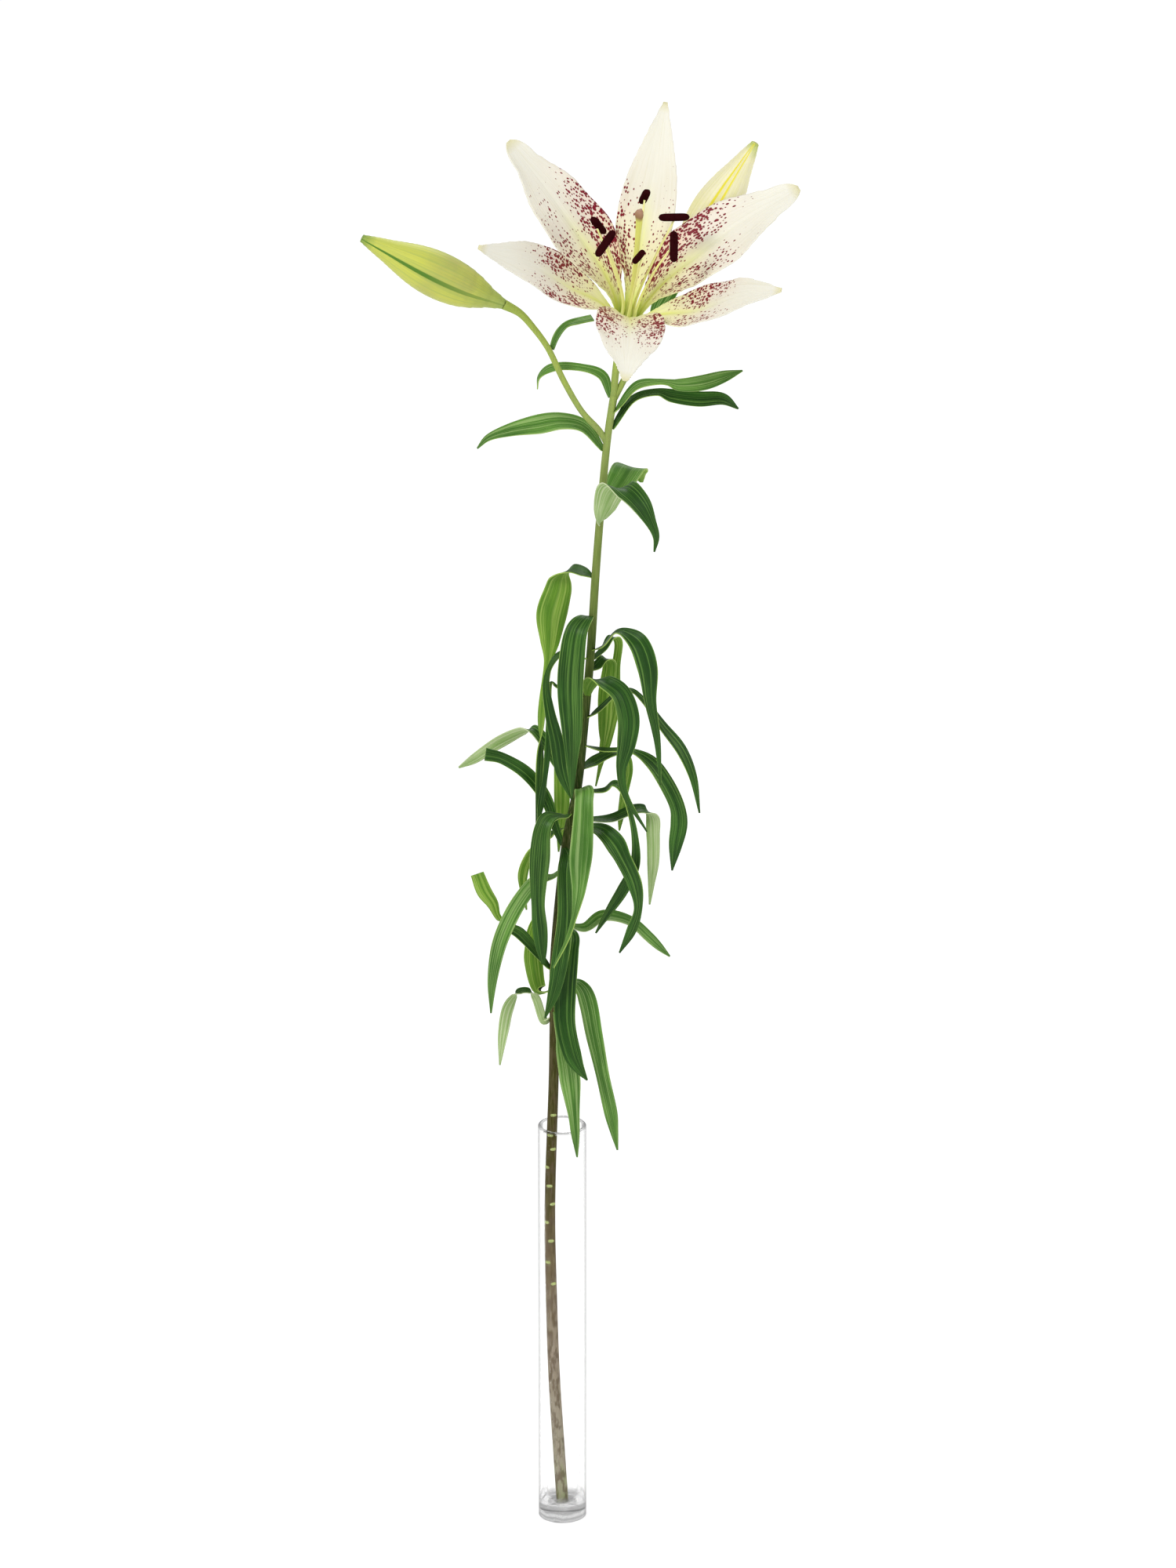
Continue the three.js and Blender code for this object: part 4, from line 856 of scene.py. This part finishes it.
def tepal_skin(name, spots=None):
    """Cream flesh with fine veins, lime green in the throat, with or without burgundy spots."""
    skin = new_material(name)
    flat = node(skin, "UVMap", uv_map="UVMap").outputs[0]
    surface = node(skin, "UVMap", uv_map="pattern").outputs[0]
    parts = node(skin, "SeparateXYZ", {"Vector": flat})
    share = parts.outputs["Y"]
    out = from_middle(skin, parts.outputs["X"])
    colour = ramp(skin, share, [
        (0.0, (0.42, 0.62, 0.04)), (0.12, (0.74, 0.82, 0.2)), (0.22, (0.86, 0.86, 0.46)),
        (0.36, (0.83, 0.805, 0.54)), (0.55, (0.77, 0.745, 0.635)), (0.95, (0.76, 0.745, 0.655)),
        (1.0, (0.66, 0.62, 0.36)),
    ])
    middle = levels(skin, out, [(0.0, 0.85), (0.34, 0.0)])
    rib = times(skin, middle, levels(skin, share, [(0.2, 1.0), (0.65, 0.0)]))
    colour = blend(skin, rib, colour, (0.66, 0.71, 0.08))
    veins = noise(skin, scaled(skin, surface, (0.8, 0.02, 1)), 1.0, 2.0)
    colour = blend(skin, levels(skin, veins, [(0.48, 0.0), (0.72, 0.5)]), colour, (0.69, 0.66, 0.5))
    height = times(skin, veins, -1.0)
    if spots:
        density = spot_density(skin, parts, surface, *spots)
        fine = spot_layer(skin, surface, density, *FINE_SPOTS)
        fewer = times(skin, density, 0.55)
        dots = calc(skin, "MAXIMUM", fine, spot_layer(skin, surface, fewer, *COARSE_SPOTS))
        flush = times(skin, density, 0.14, clamp=True)
        colour = blend(skin, flush, colour, (0.72, 0.22, 0.25))
        colour = blend(skin, dots, colour, (0.19, 0.002, 0.014))
        height = calc(skin, "ADD", height, dots)
    relief = bump(skin, height, 0.3, 0.0005)
    return flesh(skin, colour, 0.5, 0.2, relief, (0.0012, 0.001, 0.0007), weight=0.08)


tepal_back = tepal_skin("tepal_back")


def tepal_half(width, share):
    """Half the width at a share of the length. The two side inner tepals end in a round tip."""
    outline = OUTER_OUTLINE if width == OUTER_WIDTH else INNER_OUTLINE
    half = width / 2 * at_share(outline, share)
    if width == INNER_WIDTH and share > ROUND_FROM:
        rounded = math.sqrt(max(0.0, 1 - ((share - ROUND_FROM) / (1 - ROUND_FROM)) ** 2))
        half = max(half, width / 2 * ROUND_TIP * rounded)
    return max(TIP_LEAST, half)


def tepal_piece(name, compass, width, roll, profile, spots, seed):
    """A tepal on a compass side of the bloom's axis, rolled by up to `roll` degrees at its tip."""
    outward = direction(compass)
    spine = [outward * out + Vector((0, 0, up)) for out, up in profile]
    spine[0].z -= ROOT_SUNK
    path = smooth_path(spine, TEPAL_STEPS)
    ups = []
    for index in range(len(path)):
        opened = index / (len(path) - 1)
        facing = outward * (LEAN_OUT * opened - 1) + Vector((0, 0, LEAN_UP + opened))
        facing.rotate(Matrix.Rotation(math.radians(roll) * opened ** 2, 3, outward))
        ups.append(facing)
    halves = [tepal_half(width, share) for share in shares_along(path)]
    draw = Random(TEPAL_SEED + seed)
    phase, waves = draw.uniform(0, math.tau), draw.uniform(6, 9)
    claw, tip = TEPAL_CHANNEL

    def section(u, share):
        channel = u * u * (claw + (tip - claw) * min(1, share * CHANNEL_OPENS))
        ripple = TEPAL_RIPPLE * abs(u) ** 3 * math.sin(phase + share * waves * math.pi + 2 * u)
        furrow = -MIDRIB_DEPTH * math.exp(-((u / MIDRIB_WIDTH) ** 2)) * max(0, 1 - share)
        return channel + ripple * min(1, share * 2) + furrow

    bm = to_bloom(blade(path, ups, halves, TEPAL_ACROSS, section, TEPAL_PATTERN + seed))
    face = tepal_skin(f"{name}_face", spots)
    petal = plant_piece(f"{name}_petal", bm, [face, tepal_back], name)
    thicken(petal, TEPAL_THICK)


for seed, (tepal, spots) in enumerate(zip(TEPALS, SPOTS)):
    tepal_piece(*tepal, spots, seed)


# ---- Bloom: stamens ----
# Six slender filaments, each with a long powdery anther balanced across its tip. Places are in the
# bloom's own frame: the filament's tip, and the direction that the anther lies in.
STAMENS = [
    ((1, 29, 79), (0.06, -0.34, 0.9)),
    ((18, 15, 79), (0.98, 0.05, 0.1)),
    ((17, -4, 77), (-0.08, 0.73, 0.68)),
    ((-1, -18, 79), (0.15, -0.4, 0.9)),
    ((-21, -9, 79), (0.5, 0.64, 0.59)),
    ((-26.5, 3, 79), (-0.51, -0.2, 0.86)),
]
FILAMENT_RADIUS = 0.9
FILAMENT_TAPER = (1, 0.9, 0.75, 0.6)  # shares of that radius, from root to tip
FILAMENT_RING = 3.9
FILAMENT_LOW = (1.15, 0.3)  # low on a filament: shares of its ring and of its height
FILAMENT_HIGH = (0.6, 0.7)  # high on it: shares of the way to its tip, out and up
FILAMENT_SIDES = 14
FILAMENT_STEPS = 10
CORE_ROOT = 0.4 - ROOT_SUNK  # where filaments and pistil start, up the bloom's axis
ANTHER_LENGTH = 18
ANTHER_RADIUS = 2.4
ANTHER_SUNK = 0.3  # how deep the filament's tip is in the anther's side
ANTHER_GROOVE = 0.22  # between its lobes, as a share of the radius
ANTHER_END = 0.08
ANTHER_SIDES = 24
ANTHER_STEPS = 8


def plain_flesh(name, low, high, roughness, grain, gloss):
    """Soft plant flesh: two colours clouded together, with a fine grain."""
    skin = new_material(name)
    place = node(skin, "TexCoord").outputs["Object"]
    cloud = noise(skin, place, grain, 4.0)
    colour = blend(skin, cloud, low, high)
    relief = bump(skin, cloud, 0.5, 0.0003)
    return flesh(skin, colour, roughness, gloss, relief, (0.002, 0.002, 0.001), weight=0.2)


def filament_points(tip):
    """A filament's [x, y, z, radius] points, from the ring round the pistil to its tip."""
    x, y, z = tip
    ring = Vector((x, y, 0)).normalized() * FILAMENT_RING
    low_out, low_up = FILAMENT_LOW
    high_out, high_up = FILAMENT_HIGH
    places = [
        (ring.x, ring.y, CORE_ROOT),
        (ring.x * low_out, ring.y * low_out, z * low_up),
        (x * high_out, y * high_out, z * high_up),
        tip,
    ]
    return [[*place, FILAMENT_RADIUS * taper] for place, taper in zip(places, FILAMENT_TAPER)]


def anther_radius(share, angle):
    """Two long lobes with round ends, as a share of ANTHER_RADIUS."""
    ends = math.sqrt(max(0.0, 1 - (2 * share - 1) ** 6))
    return max(ANTHER_END, ends) * (1 - ANTHER_GROOVE * abs(math.cos(angle)) ** 6)


def anther_mesh(filament, lies):
    """A pod that lies in a direction across the end of a filament's path."""
    lies = Vector(lies).normalized()
    away = (filament[-1] - filament[-2]).normalized()
    away -= lies * away.dot(lies)
    centre = filament[-1] + away.normalized() * (ANTHER_RADIUS - ANTHER_SUNK)
    half = ANTHER_LENGTH / 2
    spine = [[*(centre + lies * half * share), ANTHER_RADIUS] for share in (-1, -0.5, 0, 0.5, 1)]
    return rod(spine, ANTHER_SIDES, ANTHER_STEPS, away.normalized(), anther_radius)


filament_flesh = plain_flesh(
    "filament_flesh", (0.84, 0.84, 0.28), (0.92, 0.9, 0.46), roughness=0.4, grain=90, gloss=0.15
)
anther_pollen = plain_flesh(
    "anther_pollen", (0.01, 0.001, 0.002), (0.04, 0.005, 0.006), roughness=0.9, grain=900, gloss=0.0
)
for number, (tip, lies) in enumerate(STAMENS, 1):
    points = filament_points(tip)
    across = Vector(tip).cross(Vector((0, 0, 1))).normalized()
    thread = to_bloom(rod(points, FILAMENT_SIDES, FILAMENT_STEPS, across))
    plant_piece(f"thread_{number}", thread, [filament_flesh], f"filament_{number}")
    pod = to_bloom(anther_mesh(smooth_path(points, FILAMENT_STEPS), lies))
    plant_piece(f"pod_{number}", pod, [anther_pollen], f"anther_{number}")


# ---- Bloom: pistil ----
# The ovary, its long style and the three-lobed stigma are one fleshy piece. It grows from the middle
# of the seat and stands above the stamens. Its outline gives its radius at even steps.
PISTIL = [[0, 0, CORE_ROOT], [0, 0.5, 18], [-0.5, 2.5, 45], [-3.5, 8, 92]]
PISTIL_OUTLINE = [2.3, 2.6, 2.5, 1.7, 1.3, 1.3, 1.3, 1.35, 1.4, 1.45, 1.5, 1.6, 1.7, 2, 3]
PISTIL_SIDES = 30
PISTIL_STEPS = 20
STIGMA_FROM = 0.92  # the share of the length where the lobes begin, and what they grow over
STIGMA_SPAN = 0.08
STIGMA_LOBES = 0.25
DOME_FROM = 0.97
DOME_SPAN = 0.03


def pistil_radius(share, angle):
    """Round, but for three lobes and a domed top at the stigma."""
    lobed = min(1, max(0, (share - STIGMA_FROM) / STIGMA_SPAN))
    lobes = 1 + STIGMA_LOBES * math.cos(3 * angle) * lobed
    dome = 1 - 0.5 * max(0, (share - DOME_FROM) / DOME_SPAN) ** 2
    return at_share(PISTIL_OUTLINE, share) * lobes * dome


def pistil_skin():
    """Green at the ovary, yellow along the style and brown at the stigma."""
    skin = new_material("pistil_skin")
    flat = node(skin, "UVMap", uv_map="UVMap").outputs[0]
    share = node(skin, "SeparateXYZ", {"Vector": flat}).outputs["Y"]
    colour = ramp(skin, share, [
        (0.0, (0.3, 0.44, 0.05)), (0.3, (0.76, 0.76, 0.26)), (0.92, (0.7, 0.72, 0.16)),
        (0.955, (0.3, 0.17, 0.08)), (1.0, (0.36, 0.2, 0.12)),
    ])
    return finish_surface(skin, {
        "Base Color": colour, "Roughness": 0.5, "Specular IOR Level": 0.25,
        "Subsurface Weight": 0.1, "Subsurface Radius": (0.001, 0.001, 0.0005),
    })


pistil_points = [[*point, 1] for point in PISTIL]
style = to_bloom(rod(pistil_points, PISTIL_SIDES, PISTIL_STEPS, RIGHT, pistil_radius))
plant_piece("style", style, [pistil_skin()], "pistil")


# ---- Studio ----
# A wide sheet of plain pale paper under a plain pale sky. The large soft key light is at the front
# left, with a weaker one at the front right and one behind.
FLOOR_REACH = 30  # metres from its middle to each side
bm = bmesh.new()
bmesh.ops.create_grid(bm, x_segments=1, y_segments=1, size=FLOOR_REACH)
paper = finish_surface(new_material("pale_paper"), {
    "Base Color": (0.35, 0.35, 0.35, 1), "Roughness": 0.9, "Specular IOR Level": 0.0,
    "Emission Color": (1, 1, 1, 1), "Emission Strength": 0.75,
})
floor = mesh_object("floor", bm, [paper])

world = bpy.data.worlds.new("studio")
world.use_nodes = True
sky = world.node_tree.nodes["Background"].inputs
sky["Color"].default_value = (1, 1, 1, 1)
sky["Strength"].default_value = 0.55
bpy.context.scene.world = world


def soft_light(name, place, target, size, power):
    """A round light of a width in metres and a power in watts, turned to its target."""
    data = bpy.data.lights.new(name, "AREA")
    data.shape = "DISK"
    data.size = size
    data.energy = power
    light = new_object(name, data)
    light.location = place
    light.rotation_euler = (Vector(target) - Vector(place)).to_track_quat("-Z", "Y").to_euler()


soft_light("key", (-1.8, -2.0, 3.0), (0, 0, 0.55), 1.2, 68)
soft_light("fill", (2.2, -1.6, 1.8), (0, 0, 0.55), 1.8, 24)
soft_light("back", (0.4, 2.4, 2.8), (0, 0, 0.6), 1.6, 30)

camera_data = bpy.data.cameras.new("camera")
camera_data.sensor_width = 36
camera_data.lens = 234
camera_data.clip_end = 50
camera = new_object("camera", camera_data)
camera.location = (0.01544, -5.622, 2.585)
camera.rotation_euler = (math.radians(69.4), 0, 0)
bpy.context.scene.camera = camera

bpy.context.scene.view_settings.view_transform = "Standard"
